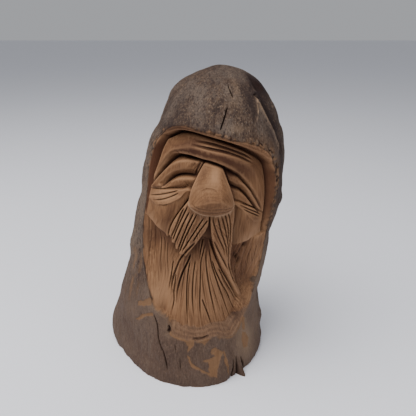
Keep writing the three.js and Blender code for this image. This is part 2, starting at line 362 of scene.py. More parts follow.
plan_bark = BARK_LEVEL
for high, wide, long, seed in BARK_RIDGES:
    plan_bark = plan_bark + high * bark_noise(wide, long, seed)
fissure_path = bark_noise(7, 60, 5) + 0.3 * bark_noise(3, 9, 6)
fissure = bell(fissure_path, FISSURE_WIDTH) * smooth(-0.1, 0.3, bark_noise(12, 30, 7))
fissure = fissure * smooth(FISSURES_FROM, FISSURES_FULL, np.abs(turn))
plan_bark = plan_bark - FISSURE_DEPTH * fissure
bark = plan_bark[:, carved]

# The opening
# The bark was cut away in one piece round the face and beard, with a chamfer along the hood's
# edge and a deep groove behind it.
OPENING = [
    (-10, 44), (-13, 53), (-24, 58.5), (-31, 70), (-36.7, 80), (-43.5, 94), (-48.5, 108),
    (-52, 122), (-53.5, 138), (-56, 151), (-59, 165), (-57, 180), (-49, 189), (-37, 193),
    (-23, 192), (-7, 189), (10, 185), (24, 182), (36, 177), (44, 168), (48, 157), (50.5, 139),
    (53, 118), (56, 98), (58, 84), (56, 72), (53, 60), (45, 47.5), (39.5, 41), (35.5, 35.5),
    (30, 35.7), (20, 39), (14, 37.5), (7.5, 37.2), (0, 38.7), (-9, 42),
]

opening = inside(OPENING)

# How far in from the edge as it is drawn, and from the edge as the knife left it
inward = within(OPENING)
ragged = inward + 0.45 * noise(4, 4, 11) + 0.3 * noise(1.2, 1.6, 12)

# Beard and side hair
# Long hair cut in shallow planes, deepest under the moustache. It ends below on a ledge that
# shows the growth rings of the wood.
SIDE_HAIR_LEVEL = -0.5
SIDE_HAIR_SLOPE = 3.6  # down from the bark
NEXT_TO_BEARD = 1.8
UNDER_CHEEK = 1.6
BEARD_LEVEL = -5.6
BEARD_MIDDLE = 8
BEARD_ROUNDING = 0.0016
UNDER_MOUSTACHE = 5.5
ABOVE_LEDGE = 1.2

side_hair = SIDE_HAIR_LEVEL - SIDE_HAIR_SLOPE * smooth(0, 8, ragged)
side_hair = side_hair - NEXT_TO_BEARD * smooth(-34, -24, across)
side_hair = side_hair - UNDER_CHEEK * bell(up - 112, 10) * smooth(2, 8, inward)
beard = BEARD_LEVEL - BEARD_ROUNDING * (across - BEARD_MIDDLE) ** 2
beard = beard - UNDER_MOUSTACHE * smooth(84, 122, up) + ABOVE_LEDGE * (1 - smooth(45, 75, up))
low = mix(side_hair, beard, smooth(-27, -19, across))

# The strands run down from under the moustache and spread: strand is constant along each.
fan_down = (97 - up) / 47
beard_strand = (across + 10 - 4 * fan_down) / (23 + 21 * fan_down) * 34
side_strand = across + 0.28 * (up - 95)
strand = mix(side_strand, beard_strand, smooth(-30, -20, across))
strand = np.where(up < 128, strand, across)
hair = 0.3 * lattice(strand / 2.2, 0 * strand, up / 40, 41)
hair = hair + 0.16 * lattice(strand / 0.9, 0 * strand, up / 25, 42)
low = low + hair

# To the right of the long lock the wood is left rough in a dark hollow. Its floor is given by how
# far it lies from the lock, its small holes by place, width, height and depth.
LOCK_EDGE = (
    (54, 50.5), (60, 47), (79, 35), (91, 28), (100, 25), (110, 22.8), (122, 20), (135, 18),
)
HOLLOW = ((0, -8.4), (6, -8), (14, -6.5), (24, -2.6), (34, -0.6))
HOLLOW_HOLES = [
    ((36.7, 93.6), 1.5, 2.2, 2.6), ((34, 96.8), 1.1, 2, 2), ((35.1, 102), 1, 2.4, 1.8),
    ((37.6, 106.6), 1.9, 1.9, 2.6), ((31, 99), 1.3, 2.4, 1.2),
]

past_lock = across - np.interp(up, *zip(*LOCK_EDGE))
hollow = np.interp(past_lock, *zip(*HOLLOW)) + 0.7 * noise(1.4, 16, 7) * smooth(0, 5, past_lock)
hollow = hollow + 0.5 * noise(1, 2.2, 8) * bell(past_lock - 7, 6)
holes = np.zeros(across.shape)
for (at, height_at), wide, tall, deep in HOLLOW_HOLES:
    hole = bell(across - at, wide) * bell(up - height_at, tall)
    hollow = hollow - deep * hole
    holes = np.maximum(holes, hole)
in_hollow = smooth(-1.5, 1.5, past_lock) * smooth(54, 62, up)
low = mix(low, hollow, in_hollow)
strand = mix(strand, across + 0.32 * (up - 80), in_hollow)

# The ledge fades out to the right, where wood and bark run into each other. Its steps follow the
# growth rings: where each starts, its depth, how uneven it is and where it ends.
LEDGE_LEVEL = -0.3
LEDGE_BACK = 12
RIGHT_SLOPE = 0.5
LEDGE_STEPS = ((0, 1.3, 0, 0.9), (2.6, 1.1, 0.4, 3.6), (6, 1.3, 0.8, 7.5), (9, 2.2, 1, 11))

waver = ragged + 0.5 * noise(7, 7, 13)
ledge_drop = 0
for start, deep, uneven, end in LEDGE_STEPS:
    ledge_drop = ledge_drop + deep * smooth(start, end, waver + uneven * noise(5, 5, 14))
ledge = LEDGE_LEVEL - ledge_drop
ledge = ledge - LEDGE_BACK * smooth(46, 60, up)
on_ledge = smooth(-0.2, 0.2, ledge - low)
low = np.maximum(low, ledge)
right_slope = LEDGE_LEVEL - RIGHT_SLOPE * np.maximum(ragged, 0) - 5 * smooth(58, 72, up)
right_slope = right_slope - 9 * (1 - smooth(30, 42, across))
low = np.maximum(low, right_slope)

# Brow and eyes
# Knife-cut folds that run from one temple to the other, under the nose. Each line is a crease or
# a crest, and the surface between two lines is one long cut.
FACE = {
    "under_hood": [
        (-53, 183, -6.5), (-48, 185.4, -8.5), (-40, 188, -10), (-28, 188.4, -10), (-16, 187, -10),
        (3, 183.4, -10), (20, 178.4, -10), (37, 171, -9.5), (43.6, 165.8, -9),
    ],
    "brow_top": [
        (-55, 150, -0.5), (-54.2, 152.5, -1.2), (-51.9, 159.3, -2.4), (-49.8, 166.2, -3.5),
        (-46.2, 173, -4.5), (-42.2, 176, -5), (-36.9, 177.3, -5.2), (-25.5, 179.3, -5),
        (-12, 178, -5), (4.5, 175, -5), (17.3, 170.8, -5.5), (25, 167, -6), (30.2, 163, -6.4),
        (35, 157, -6.5), (39.8, 149, -6.2), (44.1, 140, -5.6), (47, 132, -5),
    ],
    "brow_foot": [
        (-54, 149.7, -0.8), (-53.2, 152, -1.6), (-51.1, 158.4, -3.1), (-48.8, 164.8, -4.7),
        (-45.3, 171.3, -6.5), (-41.2, 173.6, -7.2), (-33.6, 174.3, -7), (-27, 174.2, -7),
        (-21.3, 173.4, -7.2), (-12, 171.8, -7.2), (-3, 170.2, -7.2), (5, 167.8, -7.3),
        (14.2, 164.2, -7.5), (19.6, 161.2, -7.8), (26.5, 155.8, -7.9), (32.2, 150.2, -7.5),
        (37, 145.6, -7), (41, 140, -6.4), (47, 131, -5),
    ],
    "brow_groove": [
        (-53.4, 149.3, -1), (-52, 152, -2.5), (-50.1, 157.3, -6), (-48, 163, -9.5),
        (-45, 168, -12.4), (-40.6, 171, -14), (-33.8, 171.8, -14.5), (-16, 170, -14.5),
        (7, 164.3, -14.5), (13.8, 161.6, -12.5), (19.2, 159.4, -11), (25.9, 154, -10.4),
        (31.6, 148.8, -9.6), (35.9, 143.9, -8.4), (40.5, 139, -7), (46.5, 130.9, -5),
    ],
    "upper_fold": [
        (-52.6, 149, -1), (-49.6, 154.3, -2.6), (-47.1, 158.4, -4), (-43.2, 163.6, -6),
        (-38.4, 167.2, -7.2), (-31.5, 169.2, -8), (-22, 169.8, -9), (-14, 168.4, -10),
        (-5, 165, -10.5), (6, 161.6, -11), (11.6, 159.4, -10.6), (17, 157.6, -9.6),
        (25, 153.1, -8.6), (31, 148.4, -7.8), (35.4, 144, -7.2), (39.5, 140, -6.6),
        (45.4, 130.6, -5),
    ],
    "upper_fold_foot": [
        (-51.2, 149, -1.2), (-46.4, 153, -4), (-43.2, 157.4, -6), (-38.2, 161.4, -7.6),
        (-31.5, 163.4, -8.8), (-24.7, 164.2, -9.8), (-20, 163.8, -10.4), (-5, 161, -10.8),
        (6, 158.5, -11), (12.1, 156.8, -10.4), (17.6, 154.9, -9.6), (22.8, 153.2, -9),
        (27.7, 149.8, -8.4), (32.5, 145, -7.8), (37.2, 139.6, -7), (44.6, 130.2, -5),
    ],
    "lid_groove": [
        (-50, 148.5, -1), (-46, 149, -2.8), (-44, 149.8, -5), (-43.5, 151.7, -8),
        (-41.8, 154.7, -11.5), (-38.4, 157.3, -13.8), (-30.4, 159, -14.5), (-20, 158.9, -14.5),
        (-5, 158, -14), (6, 155.6, -14), (13, 153, -14), (18.2, 151.2, -14), (23.2, 149.6, -13.6),
        (27.7, 146.6, -12.6), (31.9, 143, -11.6), (36, 138.8, -9.8), (39.4, 135, -7.8),
        (44, 129.8, -5),
    ],
    "lid": [
        (-50, 148, -1.5), (-43, 148.8, -4.8), (-41.2, 150.7, -6.4), (-38, 153.9, -7.8),
        (-31.8, 156.5, -8.6), (-19, 157.3, -9.6), (-5, 156, -10.4), (6, 153.2, -11),
        (13.5, 150.8, -11.2), (19, 148.8, -11), (23.4, 147.2, -10.6), (28.6, 143.8, -9.8),
        (33, 139.8, -8.8), (37.6, 135.2, -7.6), (43.4, 129.4, -5.4),
    ],
    "lid_foot": [
        (-50, 148, -1.5), (-43, 148.5, -5.2), (-36, 151.6, -8), (-26, 154.2, -9.8),
        (-20, 155, -10.4), (-5, 152, -10.6), (6, 148, -10.6), (14, 146, -10.6),
        (20, 143.6, -10.4), (26, 141.2, -9.6), (32, 138.4, -8.8), (39, 134.6, -7.4),
        (43.6, 129.4, -5.6),
    ],
    "eye_crease": [
        (-54, 147.6, -0.5), (-50, 147.7, -1.5), (-46, 148.2, -4.5), (-38, 149, -9),
        (-27, 150.2, -11.5), (-22, 151.2, -12), (-5, 146, -12), (10, 143.6, -12),
        (19, 142, -11.6), (25.4, 140.6, -10.6), (32, 137.6, -9.4), (39.5, 134.2, -7.8),
        (46, 130.6, -6), (50, 128.6, -5),
    ],
    "pad_top": [
        (-54, 147, -0.5), (-46, 147, -3), (-38, 148, -5.5), (-27, 149.3, -8), (-22, 150.4, -9),
        (-5, 145, -9), (10, 142.6, -9.2), (19, 141, -9), (25, 139.6, -8.4), (32, 136.4, -7.4),
        (39.5, 132.8, -6.4), (46, 129.4, -5.4), (52, 127.6, -5),
    ],
    "pad_foot": [
        (-53, 139.5, 0), (-50.6, 140.6, -0.6), (-46.9, 138.8, -1.2), (-42.1, 137.4, -2.2),
        (-34.7, 139.6, -3.4), (-29.5, 142.4, -4.8), (-26.1, 144.8, -5.6), (-21, 149.8, -8.4),
        (-5, 142, -8.5), (10, 141.5, -8.6), (19.4, 139.8, -8.4), (27.3, 134.9, -7),
        (33.8, 129.3, -5.8), (38, 126, -5), (41.4, 124, -4.8), (54, 121, -4.8),
    ],
}

lines = [nearest(points, endless=True) for points in FACE.values()]
face = lines[0][2]
for (far_above, side, level_above, _), (far_below, _, level_below, _) in zip(lines, lines[1:]):
    between = mix(level_above, level_below, far_above / np.maximum(far_above + far_below, 1e-6))
    face = np.where(side < 0, between, face)

# Cheeks
# Two flat cuts on each side: a lit one outside, and one that sinks towards the moustache. Each
# cut is given by three places on it.
CHEEK_LEFT = (
    ((-53, 137, -0.6), (-42, 137, -2.7), (-44, 125, -1.2)),
    ((-34, 139, -4), (-41, 121, -1.4), (-25, 133, -7)),
)
CHEEK_RIGHT = (
    ((50, 121, -5), (50, 113, -4.2), (34, 124, -5.8)),
    ((33, 127, -5.8), (36, 111, -5.3), (26, 120, -9)),
)
CHEEK_FOOT = [
    (-56, 131), (-50, 128.2), (-43, 124.5), (-38, 121), (-32.5, 118), (-29, 115), (-20, 116),
    (0, 116), (20, 110), (27.5, 108.2), (35.9, 109.6), (41.1, 112), (48, 112.8), (56, 114.5),
]
DEEPEST_CHEEK = -10
PAD_SHADOW = 0.9


def facet(a, b, c):
    """The height of a flat knife cut through three places."""
    normal = np.cross(np.subtract(b, a), np.subtract(c, a))
    return a[2] - (normal[0] * (across - a[0]) + normal[1] * (up - a[1])) / normal[2]


cheek_left = np.minimum(facet(*CHEEK_LEFT[0]), facet(*CHEEK_LEFT[1]))
cheek_right = np.minimum(facet(*CHEEK_RIGHT[0]), facet(*CHEEK_RIGHT[1]))
cheeks = np.maximum(np.where(across < 0, cheek_left, cheek_right), DEEPEST_CHEEK)
under_pads = lines[-1][1] < 0
pad_shadow = mix(lines[-1][2], cheeks, smooth(0, PAD_SHADOW, lines[-1][0]))
face = np.where(under_pads, pad_shadow, face)
below_cheeks, cheek_side, _, _ = nearest(CHEEK_FOOT, endless=True)
below_cheeks = np.where(cheek_side < 0, below_cheeks, -below_cheeks)

# The walls between the face and the bark
# A groove runs round the face at the foot of a steep wall. Beside the face the wall starts with a
# slight chamfer, over the forehead with a broad one along the hood's edge.
TEMPLE_LEFT = [(-53, 184), (-55, 175), (-54, 165), (-53, 149), (-51, 129)]
TEMPLE_RIGHT = [(42.6, 167), (45.4, 157), (48, 142), (50, 127), (53, 110)]
GROOVE_LEFT = (
    (128, -0.3), (140, -0.8), (149, -2.4), (156, -4.5), (162, -7.5), (169, -9.5), (184, -11),
)
GROOVE_RIGHT = ((105, -4.5), (117, -7.5), (133, -9.5), (150, -10.8), (164, -10.6))
GROOVE_TOP = -13.5
GROOVE_TOP_RIGHT = -11.2
TOP_CHAMFER = 2.4
SIDE_CHAMFER = 0.9
SIDE_GROOVE_WIDTH = 1.1
TOP_GROOVE_WIDTH = 1.6
HIGHEST_CUT = 0.1  # above the bark
BARK_EDGE = 4

panel_outline = TEMPLE_LEFT[::-1] + [point[:2] for point in FACE["under_hood"]] + TEMPLE_RIGHT
on_panel = inside(panel_outline + [(53, 105), (-50, 105)]) & (lines[0][1] < 0)
from_left, from_right = nearest(TEMPLE_LEFT)[0], nearest(TEMPLE_RIGHT)[0]
below_top = nearest(FACE["under_hood"])[0]
from_temple = np.minimum(from_left, from_right)
from_panel = np.minimum(from_temple, below_top)

foot_left = np.interp(up, *zip(*GROOVE_LEFT))
foot_right = np.interp(up, *zip(*GROOVE_RIGHT))
foot_side = np.where(from_left < from_right, foot_left, foot_right)
over = smooth(-7, 5, from_temple - below_top)  # 0 beside the face, 1 over the forehead
groove_top = mix(GROOVE_TOP, GROOVE_TOP_RIGHT, smooth(5, 38, across))
foot = mix(foot_side, groove_top, over)
chamfer = mix(SIDE_CHAMFER, TOP_CHAMFER, over)
down_wall = inward / np.maximum(inward + from_panel, 1e-6)
wall = -chamfer * smooth(0, mix(0.3, 0.6, over), down_wall)
wall = wall + (foot + chamfer) * smooth(mix(0.2, 0.62, over), 0.86, down_wall)
grooves = (
    (from_left, foot_left, SIDE_GROOVE_WIDTH),
    (from_right, foot_right, SIDE_GROOVE_WIDTH),
    (below_top, groove_top, TOP_GROOVE_WIDTH),
)
for gap, groove, width in grooves:
    face = mix(np.minimum(groove, face), face, smooth(0, width, gap))

upper = np.where(on_panel, face, wall)
carving = mix(upper, low, smooth(0, 1.2, below_cheeks))
carving = np.minimum(carving, HIGHEST_CUT)
relief = np.where(opening, carving, bark * smooth(0, BARK_EDGE, -inward))
on_wall = opening & ~on_panel & (below_cheeks < 0)

# Nose
# A long wedge left standing between the eyes, shaped with four flat knife cuts and rounded below.
# It stands further out than anything else on the piece.
NOSE = [
    (-12, 168.8), (-14.4, 164), (-15.6, 159.3), (-16.6, 153.3), (-17.2, 147.5), (-16.6, 144),
    (-15.2, 141.7), (-10.4, 138.2), (-3.6, 135.4), (3.5, 134.6), (10, 135), (14, 137),
    (15.6, 140.2), (15, 144.5), (12, 151), (9.4, 156.5), (6.4, 162), (3.4, 166), (-5, 168.1),
]
NOSE_CUTS = {
    "ridge": ((-9.4, 169.5, -7.5), (-1, 169, -7.5), (-2.5, 148, 8.4)),
    "left": ((-9.5, 168, -6.4), (-4.6, 156, 2.5), (-16.6, 154, 0.6)),
    "right": ((0.8, 167, -5.7), (2.7, 154.5, 3.6), (10.5, 154.5, -0.6)),
    "tip": ((-9, 148, 8.2), (5, 148, 8.2), (-2, 140, 8.2)),
}

in_nose = within(NOSE)
on_nose = in_nose > 0
nose = np.minimum.reduce([facet(*cut) for cut in NOSE_CUTS.values()])
rounded_tip = 0.021 * (across + 1) ** 2 * (1 - smooth(144, 156, up))
swollen_tip = 0.8 * bell(across + 2, 8) * bell(up - 149, 4)
underside = 0.058 * np.maximum(146 - up, 0) ** 2
soft_edge = 1.5 * (1 - smooth(0, 2.4, in_nose))
nose = nose - rounded_tip + swollen_tip
nose = nose - underside
nose = nose - soft_edge + 0.12 * noise(6, 6, 51)
relief = np.where(on_nose, np.maximum(relief, nose), relief)

# Moustache
# On the left a short fan of square-ended locks, on the right one long lock that sweeps down to
# the bark. Both lie on top of the beard.
FAN = [
    (-15, 147), (-18.5, 143.5), (-22.8, 136.7), (-26, 129.4), (-28.2, 122), (-28.8, 117.2),
    (-25.4, 115.2), (-24.6, 111.6), (-21.4, 111), (-20.6, 106.8), (-17.4, 107.6), (-16.6, 104),
    (-11.2, 102.4), (-9, 106.3), (-5.8, 111.9), (-2.9, 118.1), (-0.6, 122.7), (0.3, 127.2),
    (-0.6, 134), (-1, 140), (-8, 144),
]
LOCK = [
    (-0.5, 140), (0.2, 133.5), (2.7, 125.2), (5.3, 117.6), (10.4, 107.3), (17.4, 96.6),
    (27.6, 82.8), (38.2, 68.4), (49.3, 54), (48, 60.3), (35.3, 79), (28, 91), (25, 99.7),
    (22.8, 110.3), (20.1, 122.4), (18, 135.4), (14, 146), (6, 145),
]
FAN_LEVEL = -0.6
LOCK_LEVEL = -2.9

in_fan = within(FAN, straight=True)
in_lock = within(LOCK)
fan = FAN_LEVEL - 2.4 * (1 - smooth(106, 146, up)) - 0.05 * np.abs(across + 14)
fan = fan - 0.9 * (1 - smooth(0, 1.2, in_fan))
lock = LOCK_LEVEL - 2.2 * (1 - smooth(60, 130, up)) + 1.9 * smooth(0, 5, in_lock)
lock = lock - 0.8 * (1 - smooth(0, 0.9, in_lock))
relief = np.where(in_fan > 0, np.maximum(relief, fan + hair), relief)
relief = np.where(in_lock > 0, np.maximum(relief, lock + hair), relief)

# Gouge cuts
# Locks and wrinkles are parted by narrow V-shaped cuts, shallow at both ends. Their bottoms lie
# in shade, and that shade is also painted into the colour, each set as dark as it is given.
HOLE_SHADE = 0.85
CUT_REACH = 4
END_WIDTH = 0.4  # share of a cut's width that is left at its ends
TAPER_CURVE = 0.7
WALL_CURVE = 0.8

# How dark each place is painted as shade, mostly at the bottoms of cuts, holes and gaps.
cut_share = HOLE_SHADE * holes * in_hollow


def gouge(points, width, run_in=0.1, run_out=0.2):
    """How deep each place lies in a cut along a line, from 0 beside it to 1 along its middle."""
    far, _, _, share = nearest(points, reach=CUT_REACH)
    taper = np.minimum(np.clip(share / run_in, 0, 1), np.clip((1 - share) / run_out, 0, 1))
    taper = taper**TAPER_CURVE
    half = width / 2 * mix(END_WIDTH, 1, taper)
    return taper * np.clip(1 - far / half, 0, 1) ** WALL_CURVE


# Each set of cuts: its lines, how deep, how wide, how it runs in and out, how dark its bottom is
CUTS = {
    "cheek beside the fan": ([
        [
            (-17.5, 146), (-21.6, 139.7), (-24.6, 134.1), (-27.9, 126.8), (-29.4, 120.4),
            (-28.8, 114),
        ],
    ], 3.6, 2.4, 0.1, 0.1, 0.7),
    "fan": ([
        [(-19.5, 139.5), (-21.5, 133.1), (-23.2, 125.3), (-25.4, 117.3), (-26, 114)],
        [(-14.8, 137.5), (-17.6, 129.1), (-20.1, 118.9), (-22, 110.5)],
        [(-11.8, 136.8), (-14.8, 126.4), (-17.2, 113.2), (-18.2, 107)],
        [(-9.4, 136), (-12, 126.7), (-14.8, 115.7), (-16.6, 105)],
        [(-4, 133.5), (-7.8, 124), (-11.5, 114.6), (-14.4, 107)],
        [(-0.8, 131.6), (-4.8, 123.3), (-8, 115)],
        [(-17, 141), (-20, 131), (-22.5, 121.5), (-23.8, 114)],
    ], 2.4, 1.35, 0.1, 0.06, 0.85),
    "lock": ([
        [(2.2, 134), (3.6, 129.5), (9.1, 119.3), (16.1, 108.1), (18, 103)],
        [(5.1, 134.5), (10.9, 121.8), (17, 110.6), (20.5, 101)],
        [(7.6, 135.5), (13.8, 122.4), (19.6, 108.4), (23.5, 95), (26.5, 88.5)],
        [(12.1, 137), (16.2, 127.2), (19.2, 114.9), (20.6, 108)],
        [(6.5, 115.9), (12.6, 107.2), (19.4, 97.7), (26, 88.5)],
        [(10, 136), (15, 124.5), (18.4, 112)],
        [(23.4, 96), (30, 84), (38, 73)],
    ], 1.3, 1.2, 0.08, 0.25, 0.75),
    "beard": ([
        [(2.3, 110), (2.1, 103), (2.1, 96.7), (4, 86.9), (6.4, 74.3), (9.1, 58.6), (11.8, 47.2)],
        [
            (4.2, 105.4), (6.5, 96.1), (9.9, 85.7), (14, 74.9), (17.7, 65.6), (21.5, 54.7),
            (24, 47),
        ],
        [
            (6.7, 106), (10.8, 96), (14.6, 88.5), (20.6, 77.9), (26.9, 66.4), (32.9, 53.5),
            (36.8, 45),
        ],
        [(11.3, 97.5), (16.4, 88.3), (23.1, 78.9), (31.1, 67.9), (37.8, 55.9), (41.5, 49)],
        [(17.9, 91), (26.8, 78.9), (36.6, 66.2), (44.6, 54)],
        [(9.3, 67.5), (13, 60.3), (16.4, 53.4), (19.9, 45)],
        [(-2.9, 98), (-1.7, 86.7), (0.3, 74.3), (2.9, 62.7), (4.5, 53.5)],
        [(-7.1, 97), (-6.2, 85.7), (-4.3, 73.9), (-1.8, 62.2), (1.3, 47)],
        [(-16.4, 86), (-15.4, 78), (-14.4, 70)],
        [(-21.6, 96), (-20.6, 87), (-20.2, 79), (-19.4, 72)],
        [(-15.8, 74), (-13.1, 65.8), (-13, 57)],
        [(-0.6, 114), (-0.4, 105), (0.6, 99)],
    ], 1.7, 1.25, 0.06, 0.3, 0.75),
    "gap in the beard": ([
        [(-8.2, 102.4), (-8.9, 96.5), (-10.6, 90), (-11.9, 82), (-12, 73.5), (-10.8, 64)],
    ], 2.4, 2.2, 0.06, 0.35, 0.95),
    "beside the locks": ([
        [(-6.4, 113.7), (-10.9, 107.2), (-15.6, 98.5), (-17.1, 92.5), (-18.2, 80.4), (-16.4, 69)],
    ], 2.2, 2.3, 0.05, 0.25, 0.9),
    "below the long lock": ([
        [(4.9, 114.2), (8.8, 107.8), (14.2, 99.2), (21.4, 88.8), (33.2, 74.2), (45.4, 56.6)],
    ], 1.9, 1.7, 0.05, 0.25, 0.75),
    "fine strands of the beard": ([
        [(-9.8, 97), (-9.2, 84), (-8, 72), (-6.4, 60)],
        [(-5, 88), (-3, 74), (0, 60), (2, 52)],
        [(0.4, 92), (1.6, 82), (3.4, 70), (5.4, 58)],
        [(4.6, 92), (7.6, 80), (11, 70), (13.6, 62)],
        [(9, 93), (13.6, 82), (19, 71), (24, 60), (27.5, 51)],
        [(14.6, 92), (20.6, 82), (28, 70.5), (34.6, 59)],
        [(-21.4, 96), (-20, 84), (-18.4, 76)],
        [(-16.5, 88), (-15.8, 79), (-16.2, 70)],
        [(22, 84), (30, 73), (38.5, 62)],
        [(26, 61), (29.6, 52), (31.6, 46)],
    ], 0.8, 0.9, 0.2, 0.4, 0.4),
    "strands beside the lock": ([
        [(29, 105), (30.5, 92), (36, 78), (44, 64)],
        [(33.5, 106), (35, 90), (41, 74), (47, 62)],
        [(40.5, 107), (41, 92), (45, 78), (50, 66)],
        [(44.5, 108), (45.5, 94), (49, 80), (52, 70)],
        [(48.5, 109), (49, 97), (51.5, 84)],
        [(27, 96), (32, 82), (40, 69)],
    ], 0.7, 0.9, 0.2, 0.3, 0.4),
    "side hair": ([
        [(-49.4, 126), (-47.9, 120), (-45, 108), (-39.5, 92)],
        [(-43.4, 120), (-42, 112.5), (-35.7, 92)],
        [(-38.4, 118), (-33.6, 106), (-30, 91)],
        [(-33.5, 114), (-31.1, 107.9), (-26, 88), (-23.4, 79)],
        [(-29.3, 110), (-26.8, 99), (-23.6, 88), (-21.4, 78)],
        [(-46, 117), (-42, 101), (-38, 90)],
        [(-35.6, 113), (-32, 99), (-28, 85)],
    ], 0.85, 1.1, 0.05, 0.5, 0.5),
    "crow's feet": ([
        [(-51.6, 142.5), (-43.8, 144.2), (-35.9, 146.6), (-29.5, 149)],
        [(-47.6, 139.7), (-40.3, 141.4), (-33.6, 144.4), (-28.5, 147.4)],
        [(23.4, 140.5), (29.2, 138.3), (36.3, 135.6), (45.4, 131.3)],
        [(24.9, 138.6), (31.5, 135.2), (39.5, 131.6), (46.5, 127.9)],
        [(27.4, 135.5), (34.7, 131.9), (45.4, 126.7)],
    ], 1.5, 1.15, 0.25, 0.12, 0.8),
    "under the brow": ([
        [place[:2] for place in FACE["brow_groove"][:8]],
        [place[:2] for place in FACE["brow_groove"][8:]],
    ], 0.8, 2.4, 0.03, 0.12, 0.95),
    "above the eyelid": ([
        [place[:2] for place in FACE["lid_groove"][2:8]],
        [place[:2] for place in FACE["lid_groove"][10:]],
    ], 1, 2, 0.02, 0.05, 0.95),
    "between eyelid and pad": ([
        [place[:2] for place in FACE["eye_crease"][:6]],
        [place[:2] for place in FACE["eye_crease"][8:]],
    ], 0.4, 1, 0.1, 0.1, 0.5),
    "forehead": ([
        [(-25, 181.2), (-8.4, 178.9), (4.7, 176.9), (18.2, 173), (31, 167.5)],
        [(-23.3, 183.4), (-9.6, 181.9), (5.1, 179), (21.3, 174.2), (31, 170)],
    ], 2.2, 2.1, 0.3, 0.15, 0.7),
    "brow and nose nicks": ([
        [(-39.5, 175.4), (-35.8, 173.6), (-33.2, 171.6)],
        [(-9.3, 153.1), (-7.2, 154.6), (-4.3, 155.3), (-1, 154.7), (1.6, 153.2)],
        [(-41.6, 149.6), (-40.6, 151.6), (-38.6, 153.6)],
        [(-42, 137.2), (-37, 137.8), (-34.5, 138.8)],
    ], 0.7, 1.3, 0.2, 0.2, 0.35),
    "scratches in the eye's corner": ([
        [(-20.7, 168.4), (-22.6, 165.2)],
        [(-18.3, 167.1), (-22.4, 161.7)],
        [(-17.5, 165), (-20.8, 159.2)],
        [(-26, 153.1), (-23.5, 151.6)],
        [(-27, 155), (-24.8, 153.4)],
    ], 0.5, 0.8, 0.3, 0.3, 0.6),
    "beside the nose": ([
        [(-12.4, 169.5), (-15.4, 164), (-17, 159.3), (-18.2, 154), (-19, 150.6)],
        [(4.6, 168), (8.4, 161), (11.6, 154.5), (14.2, 149.5), (16, 145)],
    ], 0.8, 2, 0.1, 0.3, 0.85),
    "above the nose": ([
        [(-15.5, 169.8), (-9.2, 170.3), (-4.6, 169.2), (0, 167.9), (4.5, 166.1), (9, 163.9)],
    ], 0.8, 2.8, 0.1, 0.1, 0.92),
    "eye's corner beside the nose": ([
        [(-15.6, 169.6), (-17, 166.5), (-18.6, 163.2), (-20.2, 159.4)],
    ], 0.8, 3, 0.1, 0.3, 0.8),
    "shade on the brow's left end": ([
        [(-52, 157), (-50.2, 163.4), (-47.4, 169), (-42.6, 173)],
    ], 0.1, 3, 0.3, 0.3, 0.35),
    "left end of the eyelid": ([
        [(-51, 148.7), (-47.5, 148.9), (-44, 149.8)],
    ], 0.4, 2.4, 0.2, 0.1, 0.6),
    "growth rings across the nose": ([
        [
            (-14, 146), (-9.2, 143.3), (-4.3, 142.5), (0.3, 142.6), (4.4, 142.6), (8.5, 141.9),
            (14.8, 142.9),
        ],
        [(-12.6, 142.6), (-6, 140.2), (1, 139.6), (8, 139.4), (13.6, 140.4)],
        [(-8, 137.8), (-1, 136.6), (6, 136.6)],
    ], 0.3, 1, 0.1, 0.1, 0.5),
    "cracks of the hood": ([
        [(6.5, 205.8), (3.8, 200.5), (1, 195), (-0.7, 191.6)],
        [(10, 218.8), (11.5, 215), (13.8, 211)],
    ], 3, 1.35, 0.15, 0.1, 1),
    "cracks of the foot": ([
        [(-25.8, 54.5), (-21.4, 46.9), (-18.9, 36), (-16.7, 30.5), (-13.1, 23.2), (-10.4, 11)],
        [(5.4, 38.4), (9.7, 37.9), (13.4, 38.3), (16.8, 39.8)],
    ], 2, 1.3, 0.1, 0.15, 1),
    "fine cracks of the foot": ([
        [(-6.4, 34.6), (-5.2, 27)],
        [(-2.5, 25), (-1.6, 12.5)],
    ], 0.9, 0.8, 0.3, 0.3, 0.45),
}

for cut_lines, deep, width, run_in, run_out, dark in CUTS.values():
    for line in cut_lines:
        cut = gouge(line, width, run_in, run_out)
        relief = relief - deep * cut
        cut_share = np.maximum(cut_share, dark * cut)

# Knot, torn hood and splintered foot
# The knee has a knot by the ledge, a long torn hollow down the right of its hood, and a splinter
# that stands off its foot on the right.
KNOT = (-12, 45.5)
TORN_HOLLOW = [
    (54, 223), (57, 217), (55, 211), (52, 205), (52, 199), (54, 192), (56, 185), (58, 177),
    (59, 168),
]
TORN_RIDGE = [
    (38, 213), (41, 208.3), (41.8, 203.6), (43.8, 198.2), (46.5, 190.8), (49.2, 186), (52, 179),
    (54, 171),
]
GNARL = [(50, 217), (45.8, 214.7), (42.5, 212.4)]
SPLIT_BARK = [(43.4, 211.8), (38.7, 206.9), (37.5, 202.8), (34.8, 198.8), (31.6, 194.9)]
SPLINTER = (38.8, -0.5)
SPLINTER_GAPS = [
    [(34.4, 15), (33, 8), (31, -1)],
    [(36.6, 17), (36.4, 9), (36, -1)],
    [(40, 15), (41.2, 8.5), (42.4, 0)],
]
KNOT_DEPTH = 3
TORN_DEPTH = 3.9
TORN_WIDTH = 5.5
TORN_SHADE_WIDTH = 6.5
RIDGE_HEIGHT = 1.6
RIDGE_WIDTH = 1.5
GNARL_HEIGHT = 2.2
SPLIT_HEIGHT = 0.5
SPLINTER_HEIGHT = 6.5
SPLINTER_WIDTH = 1.9
GAP_DEPTH = 3.5
GAP_WIDTH = 2.2

knot = bell(across - KNOT[0] + 0.8 * noise(2, 2, 24), 1.3) * bell(up - KNOT[1], 3.4)
relief -= KNOT_DEPTH * knot
cut_share = np.maximum(cut_share, smooth(0.25, 0.6, knot))

